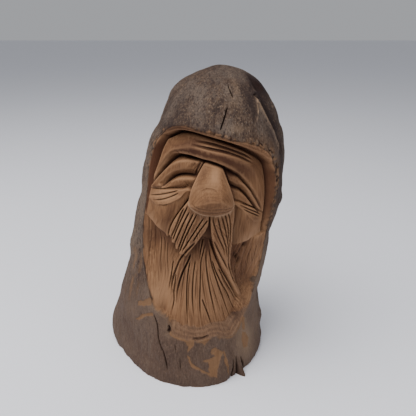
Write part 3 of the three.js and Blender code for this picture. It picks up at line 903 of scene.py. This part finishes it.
far, _, _, share = nearest(TORN_HOLLOW, reach=16)
fade = smooth(0, 0.12, share) * (1 - smooth(0.8, 1, share))
torn_deep = bell(far, TORN_WIDTH) * fade
torn_dark = bell(far, TORN_SHADE_WIDTH) * fade
relief -= TORN_DEPTH * torn_deep * (1 + 0.5 * noise(2.2, 7, 21))

far, _, _, share = nearest(TORN_RIDGE, reach=12)
torn_ridge = bell(far, RIDGE_WIDTH) * smooth(0, 0.2, share) * (1 - smooth(0.85, 1, share))
relief += RIDGE_HEIGHT * torn_ridge
gnarl = bell(nearest(GNARL, reach=12)[0], 4)
relief += GNARL_HEIGHT * gnarl * noise(2.2, 2.2, 22)
split_bark = bell(nearest(SPLIT_BARK, reach=4)[0], 0.6)
split_bark = split_bark * np.clip(0.4 + 1.4 * noise(1.6, 2.6, 23), 0, 1)
relief += SPLIT_HEIGHT * split_bark

splinter = bell(across - SPLINTER[0], SPLINTER_WIDTH) * bell(up - SPLINTER[1], 6)
relief += SPLINTER_HEIGHT * splinter
for line in SPLINTER_GAPS:
    gap = gouge(line, GAP_WIDTH, 0.5, 0.01)
    relief -= GAP_DEPTH * gap
    cut_share = np.maximum(cut_share, gap)

# Flaked bark
# Thin plates of the outer bark have come off the foot and left the tan layer below showing. Their
# edges are crumbly, and each lies a little below the bark round it.
FLAKES = [
    [
        (-43.3, 59), (-37.1, 61.8), (-31, 66.8), (-28, 66), (-28.3, 60.9), (-36, 57.5),
        (-42.6, 54.6),
    ],
    [
        (-43.6, 42), (-38.2, 48), (-33.3, 52.4), (-26.8, 55), (-26.3, 52.6), (-32.8, 49.4),
        (-39.3, 43.2),
    ],
    [(-0.5, 38.2), (6.3, 38), (6.2, 34.3), (4.1, 29.6), (2.6, 28), (2.4, 32.9)],
    [
        (2.2, 25.7), (4.2, 24.9), (5.5, 19.5), (8, 17.5), (13.3, 13.4), (17.2, 10.8), (16.1, 9.4),
        (10.2, 14), (5.2, 16.4), (3.4, 20.3),
    ],
    [
        (18.5, 28.8), (21.9, 29.8), (24, 26.6), (26.9, 23.8), (25.1, 21.5), (23.4, 18.3),
        (22, 12.9), (20.6, 6.8), (16.2, 9), (15.9, 14.3), (15.6, 19.5), (12.4, 21), (17, 22.3),
        (20.4, 23), (17.8, 26.7),
    ],
    [(43.9, 34), (47.4, 31), (50.6, 23), (48.3, 17.3), (43.6, 19.3), (42.6, 26.3)],
    [(43.1, 46.9), (45.8, 45), (46.4, 34.8), (44.2, 34.2)],
    [(10.4, 36.4), (16.2, 36.8), (13.8, 31.2)],
    [(27, 25), (28.6, 19.6), (29.4, 12.4), (30, 4), (28.8, 4), (27.8, 12), (27, 19)],
    [(38.6, 38), (41.4, 43), (42.6, 48), (44, 47), (42.4, 41), (40, 36.6)],
]
FLAKE_DEPTH = 0.45

flake = np.zeros(across.shape)
for outline in FLAKES:
    crumbly = 0.5 * noise(2, 2, 61)
    edge = within(outline, reach=4, straight=True) + crumbly + 0.3 * noise(0.8, 0.8, 62)
    flake = np.maximum(flake, smooth(-0.25, 0.35, edge))
flake = flake * (inward < 0.5)
relief -= FLAKE_DEPTH * flake

# Torn edge
# Where the knife tore the bark off, its edge is crumbly, with tan fibres and dark gaps between
# them: over the forehead, down both sides of the face and along the ledge below the beard.
CRUMB_HEIGHT = 0.5
CRUMB_GAP_DEPTH = 0.6
CRUMB_GAP_SHADE = 0.85
BLACK_PATCH = (66, 216)  # on the torn side of the hood
BLACK_PATCH_SHADE = 0.8

fringe = bell(ragged + 0.6, 1.1) * smooth(-48, -30, across) * (1 - smooth(30, 42, across))
fringe = fringe * (up > 170) * mix(0.35, 1, smooth(-0.3, 0.4, noise(9, 30, 76)))
left_strip = bell(ragged + 2.5, 2) * smooth(150, 160, up) * (1 - smooth(186, 192, up)) * (across < 0)
right_strip = bell(ragged + 2.2, 2.4) * smooth(112, 122, up) * (1 - smooth(180, 190, up))
right_strip = right_strip * (across > 20)
ledge_strip = 1.6 * bell(ragged + 0.9, 0.6) * (1 - smooth(50, 62, up)) * (across > -13)
torn_edge = fringe * mix(0.4, 1, bell(across - 4, 18)) + left_strip + right_strip
gaps = np.clip(torn_edge, 0, 1) * smooth(0.1, 0.4, noise(2, 1.6, 75))
crumbs = torn_edge * (0.45 + 1.4 * noise(1.8, 1.6, 71))
relief += CRUMB_HEIGHT * torn_edge * noise(1.6, 2.4, 71) - CRUMB_GAP_DEPTH * gaps
cut_share = np.maximum(cut_share, CRUMB_GAP_SHADE * gaps)
black_patch = bell(across - BLACK_PATCH[0], 10) * bell(up - BLACK_PATCH[1], 7)
black_patch = black_patch * smooth(-0.3, 0.3, noise(5, 4, 77))
cut_share = np.maximum(cut_share, BLACK_PATCH_SHADE * black_patch)

# The knee's mesh
# A flat grid is wrapped round to the carved surface, joined behind and closed at the top and in
# the middle of the foot, then thinned where it is flat. The bark's edge is softened first.
EDGE_SOFTENED = 2  # how far from the bark's edge the relief is evened out
RELIEF_FADES = 10  # the radius where the relief starts to fade towards the top


def evened(values, columns_reach, rows_reach):
    """Values averaged over their neighbours."""
    for axis, reach in ((1, columns_reach), (0, rows_reach)):
        pad = [(0, 0), (0, 0)]
        pad[axis] = (reach + 1, reach)
        total = np.cumsum(np.pad(values, pad, mode="edge"), axis=axis)
        count = values.shape[axis]
        high = np.take(total, np.arange(count) + 2 * reach + 1, axis=axis)
        values = (high - np.take(total, np.arange(count), axis=axis)) / (2 * reach + 1)
    return values


softened = evened(relief, 2, 2)
relief = mix(relief, softened, bell(inward - 0.8, EDGE_SOFTENED))
depth = plan_bark.copy()
depth[:, carved] = relief
radius = np.maximum(core + depth * np.clip(core / RELIEF_FADES, 0, 1), 0)
radius[[0, -1]] = 0
grid = np.stack([lean(height) + np.sin(turn) * radius, -np.cos(turn) * radius, height], -1)

form = bmesh.new()
bmesh.ops.create_grid(form, x_segments=COLUMNS, y_segments=ROWS, size=1)
edge_corners = [corner for corner in form.verts if corner.is_boundary]
for corner in form.verts:
    column = round((corner.co.x + 1) / 2 * COLUMNS)
    row = round((corner.co.y + 1) / 2 * ROWS)
    corner.co = grid[row, column % COLUMNS]
bmesh.ops.remove_doubles(form, verts=edge_corners, dist=SEAM_GAP)
knee_mesh = bpy.data.meshes.new("carved_knee")
form.to_mesh(knee_mesh)
form.free()
knee = bpy.data.objects.new("carved_knee", knee_mesh)
bpy.context.scene.collection.objects.link(knee)

face_count = 2 * COLUMNS * ROWS
if face_count > MOST_FACES:
    thin = knee.modifiers.new("thin", "DECIMATE")
    thin.ratio = MOST_FACES / face_count
    thinned = knee.evaluated_get(bpy.context.evaluated_depsgraph_get())
    knee_mesh = bpy.data.meshes.new_from_object(thinned)
    knee.modifiers.clear()
    knee.data = knee_mesh

# What the paint needs to know
# The places of the mesh's corners are found again on the plan, and each corner is given what is
# known there: bark or bare wood, cuts and hollows with their painted shade, crests with their
# painted highlights, the walls' red and painted shade, torn places, and how light the wood is, from
# its own tone and from painted light and shade.
knee_places = np.empty(len(knee_mesh.vertices) * 3)
knee_mesh.vertices.foreach_get("co", knee_places)
knee_places = knee_places.reshape(-1, 3)
corner_turn = np.arctan2(knee_places[:, 0] - lean(knee_places[:, 2]), -knee_places[:, 1])
corner_column = np.interp(corner_turn, np.append(column_turns, pi), np.arange(COLUMNS + 1))
corner_row = np.interp(knee_places[:, 2], row_heights[1:], np.arange(1, ROWS + 1))


def give(name, values):
    """Stores values of the plan, or of the whole surface, on the mesh's corners."""
    whole = values
    if values.shape != turn.shape:
        whole = np.zeros(turn.shape)
        whole[:, carved] = values
    i, j = np.floor(corner_row).astype(int), np.floor(corner_column).astype(int)
    down, on = np.clip(i + 1, 0, ROWS), (j + 1) % COLUMNS
    s, t = corner_row - i, corner_column - j
    top = mix(whole[i, j % COLUMNS], whole[i, on], t)
    bottom = mix(whole[down, j % COLUMNS], whole[down, on], t)
    layer = knee_mesh.attributes.new(name, "FLOAT", "POINT")
    layer.data.foreach_set("value", mix(top, bottom, s).astype(np.float32))


columns_in_mm = COLUMNS * FRONT_COLUMNS / (2 * FRONT * ARC)
rows_in_mm = ROWS * (ROW_SHARES[3] - ROW_SHARES[2]) / (ROW_HEIGHTS[3] - ROW_HEIGHTS[2])
# Painted shade and highlights: a place is darkened as shade by how far it lies below the relief
# round it, and lightened as a highlight by how far it stands above the relief close by.
HOLLOW_REACH = 7
HOLLOW_FULL = 6
CREST_REACH = 1.2
CREST_FULL = 0.6

around = evened(depth, round(HOLLOW_REACH * columns_in_mm), round(HOLLOW_REACH * rows_in_mm))
close_by = evened(depth, round(CREST_REACH * columns_in_mm), round(CREST_REACH * rows_in_mm))

# Where the wood or bark is painted lighter or darker than the rest. Some spots are its own colour,
# others painted light and shade: light on the left eye pads and the nose's ridge, shade under the
# hood's edge, on the brow band, beside the nose, under the moustache and the left cheek, and where
# the cheeks meet the moustache. Each: across, up, reach across, reach up, how much lighter
TONES_AND_PAINTED_LIGHT = {
    "left eye and cheek": [
        (-38, 143.5, 15, 4.5, 0.65),
        (-48.5, 149.4, 5, 1.6, -0.8),
        (-27, 166.5, 10, 3, 0.4),
        (-46, 128, 8, 8, 0.1),
        (-30, 129, 6, 9, -0.6),
    ],
    "right eye and cheek": [
        (34, 146, 14, 9, -0.05),
        (29, 133, 7, 3.5, 0.35),
        (47, 138, 4, 22, 0.2),
        (43, 117, 8, 6, 0.5),
        (29, 119, 5, 9, -0.45),
    ],
    "forehead and brow": [
        (-35, 190, 26, 3.5, -0.9),
        (-15, 183, 18, 4, -0.6),
        (-29, 176.5, 14, 4.5, -0.85),
        (0, 170, 26, 7, -0.9),
        (10, 178, 22, 4, -0.6),
        (28, 176, 16, 2.5, 0.4),
        (28, 163, 16, 8, -0.4),
        (14, 161.3, 7, 2.6, -0.9),
        (14, 149.4, 5, 2.5, -0.5),
    ],
    "nose": [
        (-1.5, 163, 4.5, 7, 1.05),
        (-4, 167, 6, 4, 0.4),
        (-11.5, 157, 3.5, 9, -0.1),
        (-11, 152, 4, 9, 0.3),
        (8, 156, 3, 9, -0.05),
        (11, 148, 3, 5, 0.35),
        (-1, 147, 14, 4, -0.3),
        (-1, 138, 16, 3.5, -0.3),
    ],
    "moustache": [
        (-24, 124, 4, 11, 0.8),
        (-13, 122, 14, 16, -0.4),
        (2, 109, 9, 10, -0.85),
    ],
    "hair and beard": [
        (-36, 114, 18, 9, -0.7),
        (-20, 94, 5, 12, 0.45),
        (-16, 96, 9, 9, -0.4),
        (-9.5, 93, 3.6, 8, -0.7),
        (-11.6, 82, 2.4, 8, -0.6),
        (-31, 80, 8, 16, 0.1),
        (-25, 71, 8, 13, 0.6),
        (-17, 66, 9, 12, 0.25),
        (20, 60, 22, 14, 0.15),
    ],
    "hollow beside the lock": [
        (37, 87, 4, 12, 0.7),
        (46.4, 95, 5, 8, -0.2),
    ],
    "hood": [
        (-20, 205, 60, 30, -0.2),
        (0, 227, 60, 7, -0.3),
        (55, 195, 16, 30, -0.1),
        (52, 216, 16, 8, -0.4),
        (66, 217, 12, 7, -1.5),
        (67, 196, 6, 16, 0.12),
        (45.8, 214.7, 1.5, 1.5, 1.4),
        (45, 186, 6, 12, -0.5),
        (32, 208, 5, 12, -0.75),
        (21.5, 219.5, 4, 6, 0.4),
        (13, 210, 10, 9, 0.3),
        (-8, 207, 9, 8, 0.15),
        (14, 192.5, 9, 3, 0.5),
        (-46, 205, 8, 16, -0.35),
        (-66, 203, 8, 12, -0.35),
    ],
    "sides": [
        (-62, 120, 8, 40, 0.2),
        (58, 150, 8, 28, -1.3),
        (58, 90, 8, 35, 0.35),
        (66, 62, 6, 34, 0.35),
    ],
    "foot": [
        (-50, 48, 10, 12, 0.15),
        (-12, 45, 5, 7, 0.35),
        (40, 49, 4, 5, -0.8),
        (52, 38, 5, 9, -0.35),
        (48, 27, 10, 19, 0.9),
        (4, 20, 26, 14, -0.15),
        (38.8, 3, 3, 6, -0.6),
    ],
}

tone_and_painted_light = np.zeros(across.shape)
for spots in TONES_AND_PAINTED_LIGHT.values():
    for at, height_at, wide, tall, lighter in spots:
        tone_and_painted_light += lighter * bell(across - at, wide) * bell(up - height_at, tall)
tone_and_painted_light += 0.9 * torn_ridge - 0.4 * gnarl

# The walls round the face and the hollow beside the lock are painted dark red, partly the wood's
# own red and partly painted shade: deeper down the walls, and in the hollow nearest the lock.
RIGHT_WALL_RED_AND_SHADE = 0.8
HOLLOW_RED_AND_SHADE = 0.68

red_and_shade_start = np.where(across < 0, -0.1, mix(-0.15, 0.3, smooth(160, 173, up)))
red_and_shade_start = mix(red_and_shade_start, 0.4, over)
red_and_shade = on_wall * smooth(red_and_shade_start, red_and_shade_start + 0.25, down_wall) * smooth(110, 135, up)
red_and_shade = red_and_shade * (1 - 0.6 * over) * np.where(across < 0, 1, RIGHT_WALL_RED_AND_SHADE)
hollow_red_and_shade = HOLLOW_RED_AND_SHADE * in_hollow * (1 - smooth(8, 26, past_lock))
hollow_red_and_shade = hollow_red_and_shade * smooth(62, 80, up) * smooth(0, 1.5, below_cheeks)
red_and_shade = np.maximum(red_and_shade, hollow_red_and_shade * opening)

# The tan layer below the bark shows at the torn edge, in the flakes, in spots on the left, and
# faintly on the splinter and on the bark to the right of the face.
TAN_SPOTS = 0.75
TAN_BARK = 0.2
TAN_SPLINTER = 0.15

tan_spots = TAN_SPOTS * smooth(0.15, 0.5, noise(3, 6, 74))
tan_spots = tan_spots * bell(across + 54, 9) * bell(up - 82, 26)
tan_bark = TAN_BARK * bell(ragged + 7, 5) * smooth(112, 122, up) * (1 - smooth(180, 192, up))
tan_bark = tan_bark * (across > 20)
torn = np.clip(crumbs + ledge_strip * (0.6 + noise(5, 3, 73)), 0, 1)
torn = np.clip(torn + flake + tan_spots + tan_bark + TAN_SPLINTER * splinter, 0, 1)

# Pale rims are painted as highlights on the nose's lower edge, the right cheek's lower edge and
# the left temple's edge, and the split bark is painted pale. A dark seam follows the edge of the
# bark.
PALE_NOSE = 0.55
PALE_CHEEK = 0.5
PALE_TEMPLE = 0.35
PALE_SPLIT = 0.5
FISSURE_SHADE = 0.75

pale_nose = PALE_NOSE * bell(in_nose - 0.6, 0.9) * (1 - smooth(142, 147, up))
pale_cheek = PALE_CHEEK * bell(below_cheeks + 0.7, 0.6)
pale_cheek = pale_cheek * (across > 20) * on_panel * (in_lock < 0)
pale_temple = PALE_TEMPLE * bell(from_left - 0.5, 0.5) * on_panel
pale_temple = pale_temple * smooth(150, 156, up) * (1 - smooth(172, 180, up))
pale = pale_nose + (pale_cheek + PALE_SPLIT * split_bark) + pale_temple
bark_seam = bell(ragged + 0.3, 0.4) * (0.55 + 0.5 * noise(5, 5, 72)) * (up > 62)
whole_cut = FISSURE_SHADE * fissure
whole_cut[:, carved] = np.maximum(whole_cut[:, carved], np.maximum(cut_share, bark_seam))

give("wood", smooth(-0.35, 0.35, ragged) * (1 - 0.55 * on_ledge))
give("cut", whole_cut)
give("depth", depth)
give("hollow", np.clip((around - depth) / HOLLOW_FULL, 0, 1))
give("crest_highlight", np.clip((depth - close_by) / CREST_FULL, 0, 1))
give("strand", strand)
give("tone_and_painted_light", tone_and_painted_light)
give("pale", np.clip(pale, 0, 1))
give("flat", on_panel | on_nose)
give("red_and_shade", np.clip(red_and_shade, 0, 1))
give("torn", torn)
give("torn_hood", np.clip(1.3 * torn_dark + 0.6 * gnarl, 0, 1) * (1 - torn_ridge))

# The finished mesh stays inside the solid's box and stands where the solid stands.
low_corner, high_corner = (np.array(corner) * 1000 for corner in cad_box)
placed = np.clip(knee_places + FOOT_PLACE, low_corner, high_corner)
knee_mesh.vertices.foreach_set("co", placed.ravel() / 1000)
knee_mesh.update()
knee_mesh.shade_smooth()

# Bare and barked wood
# Reddish-brown heartwood with growth rings where the knife went through them, under grey-brown
# bark with dark and light flecks and tan places where it has flaked off.


class Value:
    """A number or colour that changes over the surface, for use in plain sums."""

    def __init__(self, paint, socket):
        self.paint = paint
        self.socket = socket

    def sum(self, operation, *terms):
        return self.paint.node("ShaderNodeMath", {"operation": operation}, dict(enumerate(terms)))

    def __add__(self, other):
        return self.sum("ADD", self, other)

    def __sub__(self, other):
        return self.sum("SUBTRACT", self, other)

    def __rsub__(self, other):
        return self.sum("SUBTRACT", other, self)

    def __mul__(self, other):
        return self.sum("MULTIPLY", self, other)

    __radd__ = __add__
    __rmul__ = __mul__

    def between(self, start, end):
        """0 at start, 1 at end, eased."""
        settings = {"interpolation_type": "SMOOTHSTEP"}
        inputs = {"Value": self, "From Min": start, "From Max": end}
        return self.paint.node("ShaderNodeMapRange", settings, inputs)


class Paint:
    """A material and its nodes."""

    def __init__(self, name):
        self.material = bpy.data.materials.new(name)
        self.material.use_nodes = True
        self.nodes = self.material.node_tree.nodes
        self.shader = self.nodes["Principled BSDF"]

    def feed(self, socket, value):
        if isinstance(value, Value):
            self.material.node_tree.links.new(value.socket, socket)
        else:
            socket.default_value = value

    def node(self, kind, settings=None, inputs=None, output=0):
        made = self.nodes.new(kind)
        for name, value in (settings or {}).items():
            setattr(made, name, value)
        for name, value in (inputs or {}).items():
            self.feed(made.inputs[name], value)
        return Value(self, made.outputs[output])

    def stored(self, name):
        return self.node("ShaderNodeAttribute", {"attribute_name": name}, output="Fac")

    def blend(self, share, a, b):
        """Colour a turning to colour b as share goes from 0 to 1."""
        return self.node("ShaderNodeMix", {"data_type": "RGBA"}, {0: share, 6: a, 7: b}, output=2)

    def layered(self, colour, layers):
        """The colour with others laid over it in turn, each by its share."""
        for share, over in layers:
            colour = self.blend(share, colour, over)
        return colour

    def stretched(self, place, scale, detail=3, roughness=0.6):
        """Noise about 0.5 in waves of one over scale metres along each axis."""
        where = self.node("ShaderNodeMapping", {}, {"Vector": place, "Scale": scale})
        inputs = {"Vector": where, "Scale": 1, "Detail": detail, "Roughness": roughness}
        return self.node("ShaderNodeTexNoise", {}, inputs)


wood_paint = Paint("carved_wood")
place = wood_paint.node("ShaderNodeTexCoord", output="Object")
is_wood = wood_paint.stored("wood")
cut = wood_paint.stored("cut")
hollow = wood_paint.stored("hollow")
crest_highlight = wood_paint.stored("crest_highlight")
tone_and_painted_light = wood_paint.stored("tone_and_painted_light")
pale = wood_paint.stored("pale")
flat = wood_paint.stored("flat")
red_and_shade = wood_paint.stored("red_and_shade")
torn = wood_paint.stored("torn")
torn_hood = wood_paint.stored("torn_hood")
ring_depth = wood_paint.stored("depth")
height_up = wood_paint.node("ShaderNodeSeparateXYZ", {}, {"Vector": place}, output="Z")

HEARTWOOD = (0.140, 0.067, 0.031, 1)
LIGHT_WOOD_AND_HIGHLIGHT = (0.315, 0.174, 0.092, 1)
PALE_WOOD = (0.48, 0.32, 0.20, 1)
DARK_WOOD = (0.047, 0.018, 0.010, 1)
CUT_SHADOW = (0.016, 0.006, 0.004, 1)
RED_WOOD = (0.064, 0.024, 0.012, 1)
BARK = (0.080, 0.051, 0.035, 1)
BARK_GREY = (0.143, 0.110, 0.087, 1)
BARK_DARK = (0.023, 0.0145, 0.0135, 1)
BARK_RED = (0.094, 0.058, 0.042, 1)
BARK_TAN = (0.195, 0.130, 0.085, 1)
TORN_WOOD = (0.195, 0.112, 0.059, 1)

# Colour of the cut wood
# Fibres run along the strands of hair, and growth rings show where a cut goes down through them.
# In hollows and cuts the wood is painted dark as shade, and on crests painted light as highlights.
GROWTH_RINGS = 0.625  # in a millimetre

strand_place = {"X": wood_paint.stored("strand"), "Y": ring_depth * 0.5, "Z": height_up * 40}
along_strand = wood_paint.node("ShaderNodeCombineXYZ", {}, strand_place)
fibre = wood_paint.stretched(along_strand, (1.6, 1.6, 1), 4, 0.7)
mottle = wood_paint.stretched(place, (90, 90, 45), 3)
ring_wave = ring_depth * GROWTH_RINGS + mottle * 1.5
ring = wood_paint.node("ShaderNodeMath", {"operation": "FRACT"}, {0: ring_wave})
ring_line = ring.between(0.55, 0.85) * (1 - ring.between(0.88, 1))
light_fibre = fibre.between(0.4, 0.68) * (0.55 - flat * 0.28)
dark_fibre = (0.5 - fibre).between(0, 0.2) * (0.75 - flat * 0.5)
# The layers paint light and shade as well as the wood's colour: the tone spots' painted light and
# shade, highlights on crests, the walls' red and shade, shade in hollows and at the bottoms of cuts.
wood_layers = (
    (light_fibre, LIGHT_WOOD_AND_HIGHLIGHT),
    (dark_fibre, DARK_WOOD),
    ((mottle - 0.5) * 1.6, DARK_WOOD),
    (ring_line * 0.25, DARK_WOOD),
    (tone_and_painted_light, LIGHT_WOOD_AND_HIGHLIGHT),
    (tone_and_painted_light * -1, DARK_WOOD),
    # painted highlights on crests
    (crest_highlight * 0.6, LIGHT_WOOD_AND_HIGHLIGHT),
    (red_and_shade * (0.8 + fibre * 0.4), RED_WOOD),
    (hollow.between(0.05, 0.85) * 0.85, DARK_WOOD),
    (cut * 0.9, CUT_SHADOW),
)
wood_colour = wood_paint.layered(HEARTWOOD, wood_layers)

# Colour of the bark
# Grey-brown with dark and light streaks, clouds and specks. Towards the foot it is smoother and
# redder.
streak = wood_paint.stretched(place, (320, 320, 70), 5, 0.7)
scratch = wood_paint.stretched(place, (1100, 1100, 130), 3, 0.6)
cloud = wood_paint.stretched(place, (38, 38, 24), 4, 0.6)
speck = wood_paint.stretched(place, (900, 900, 600), 2)
rough = 0.45 + height_up.between(0.05, 0.11) * 0.55
near_foot = 1 - height_up.between(0.04, 0.12)
torn_colour = wood_paint.blend(streak, TORN_WOOD, HEARTWOOD)
# Besides streaks, clouds and specks, the layers paint shade in hollows and at the bottoms of cuts
# and cracks, and the tone spots' colour and painted light and shade.
bark_layers = (
    (streak.between(0.42, 0.62) * rough * 0.65, BARK_DARK),
    (cloud.between(0.48, 0.62) * 0.5, BARK_GREY),
    ((0.5 - cloud).between(0, 0.14) * 0.6, BARK_DARK),
    (near_foot * 0.7, BARK_RED),
    (scratch.between(0.55, 0.66) * rough * 0.65, BARK_GREY),
    ((0.5 - scratch).between(0.05, 0.14) * rough * 0.75, BARK_DARK),
    (speck.between(0.58, 0.7) * rough * 0.7, BARK_TAN),
    ((0.5 - speck).between(0.06, 0.18) * rough * 0.7, BARK_DARK),
    (tone_and_painted_light, BARK_TAN),
    (tone_and_painted_light * -1, BARK_DARK),
    (hollow.between(0.05, 0.6) * 0.7, BARK_DARK),
    (torn_hood * 0.92, BARK_DARK),
    (torn * 0.9, torn_colour),
    (cut, CUT_SHADOW),
)
bark_colour = wood_paint.layered(BARK, bark_layers)
surface_colour = wood_paint.blend(is_wood, bark_colour, wood_colour)
surface_colour = wood_paint.blend(pale * 0.8, surface_colour, PALE_WOOD)

# Sawn end below
# The saw left flat end grain with its rings round the middle of the foot.
SAWN_RINGS = 450  # in a metre

distance = {"operation": "LENGTH"}
from_pith = wood_paint.node("ShaderNodeVectorMath", distance, {0: place}, output="Value")
sawn_wave = from_pith * SAWN_RINGS + mottle * 3
sawn_ring = wood_paint.node("ShaderNodeMath", {"operation": "FRACT"}, {0: sawn_wave})
end_grain = wood_paint.blend(sawn_ring.between(0.5, 0.9) * 0.7, LIGHT_WOOD_AND_HIGHLIGHT, HEARTWOOD)
sawn = 1 - height_up.between(0.0001, 0.0005)
surface_colour = wood_paint.blend(sawn, surface_colour, end_grain)
wood_paint.feed(wood_paint.shader.inputs["Base Color"], surface_colour)

# Finish
# Dry and unvarnished, the bark a little rougher than the cut wood. Fine bumps follow the fibres,
# the growth rings and the crust of the bark.
BARK_ROUGHNESS = 0.72
WOOD_SMOOTHER = 0.08
STREAK_ROUGHER = 0.1
SHINE = 0.12
BUMP = {"Strength": 0.6, "Distance": 0.001}

roughness = BARK_ROUGHNESS - is_wood * WOOD_SMOOTHER + streak * STREAK_ROUGHER
wood_paint.feed(wood_paint.shader.inputs["Roughness"], roughness)
wood_paint.feed(wood_paint.shader.inputs["Specular IOR Level"], SHINE)
wood_lift = fibre * 0.5 - ring_line * 0.1
bark_lift = streak * 1.4 + scratch * 0.8 + speck * 0.7
lift = is_wood * wood_lift + (1 - is_wood) * bark_lift
relief_normal = wood_paint.node("ShaderNodeBump", {}, {"Height": lift, **BUMP})
wood_paint.feed(wood_paint.shader.inputs["Normal"], relief_normal)
knee_mesh.materials.clear()
knee_mesh.materials.append(wood_paint.material)

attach(knee, "root")
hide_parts(NODE)
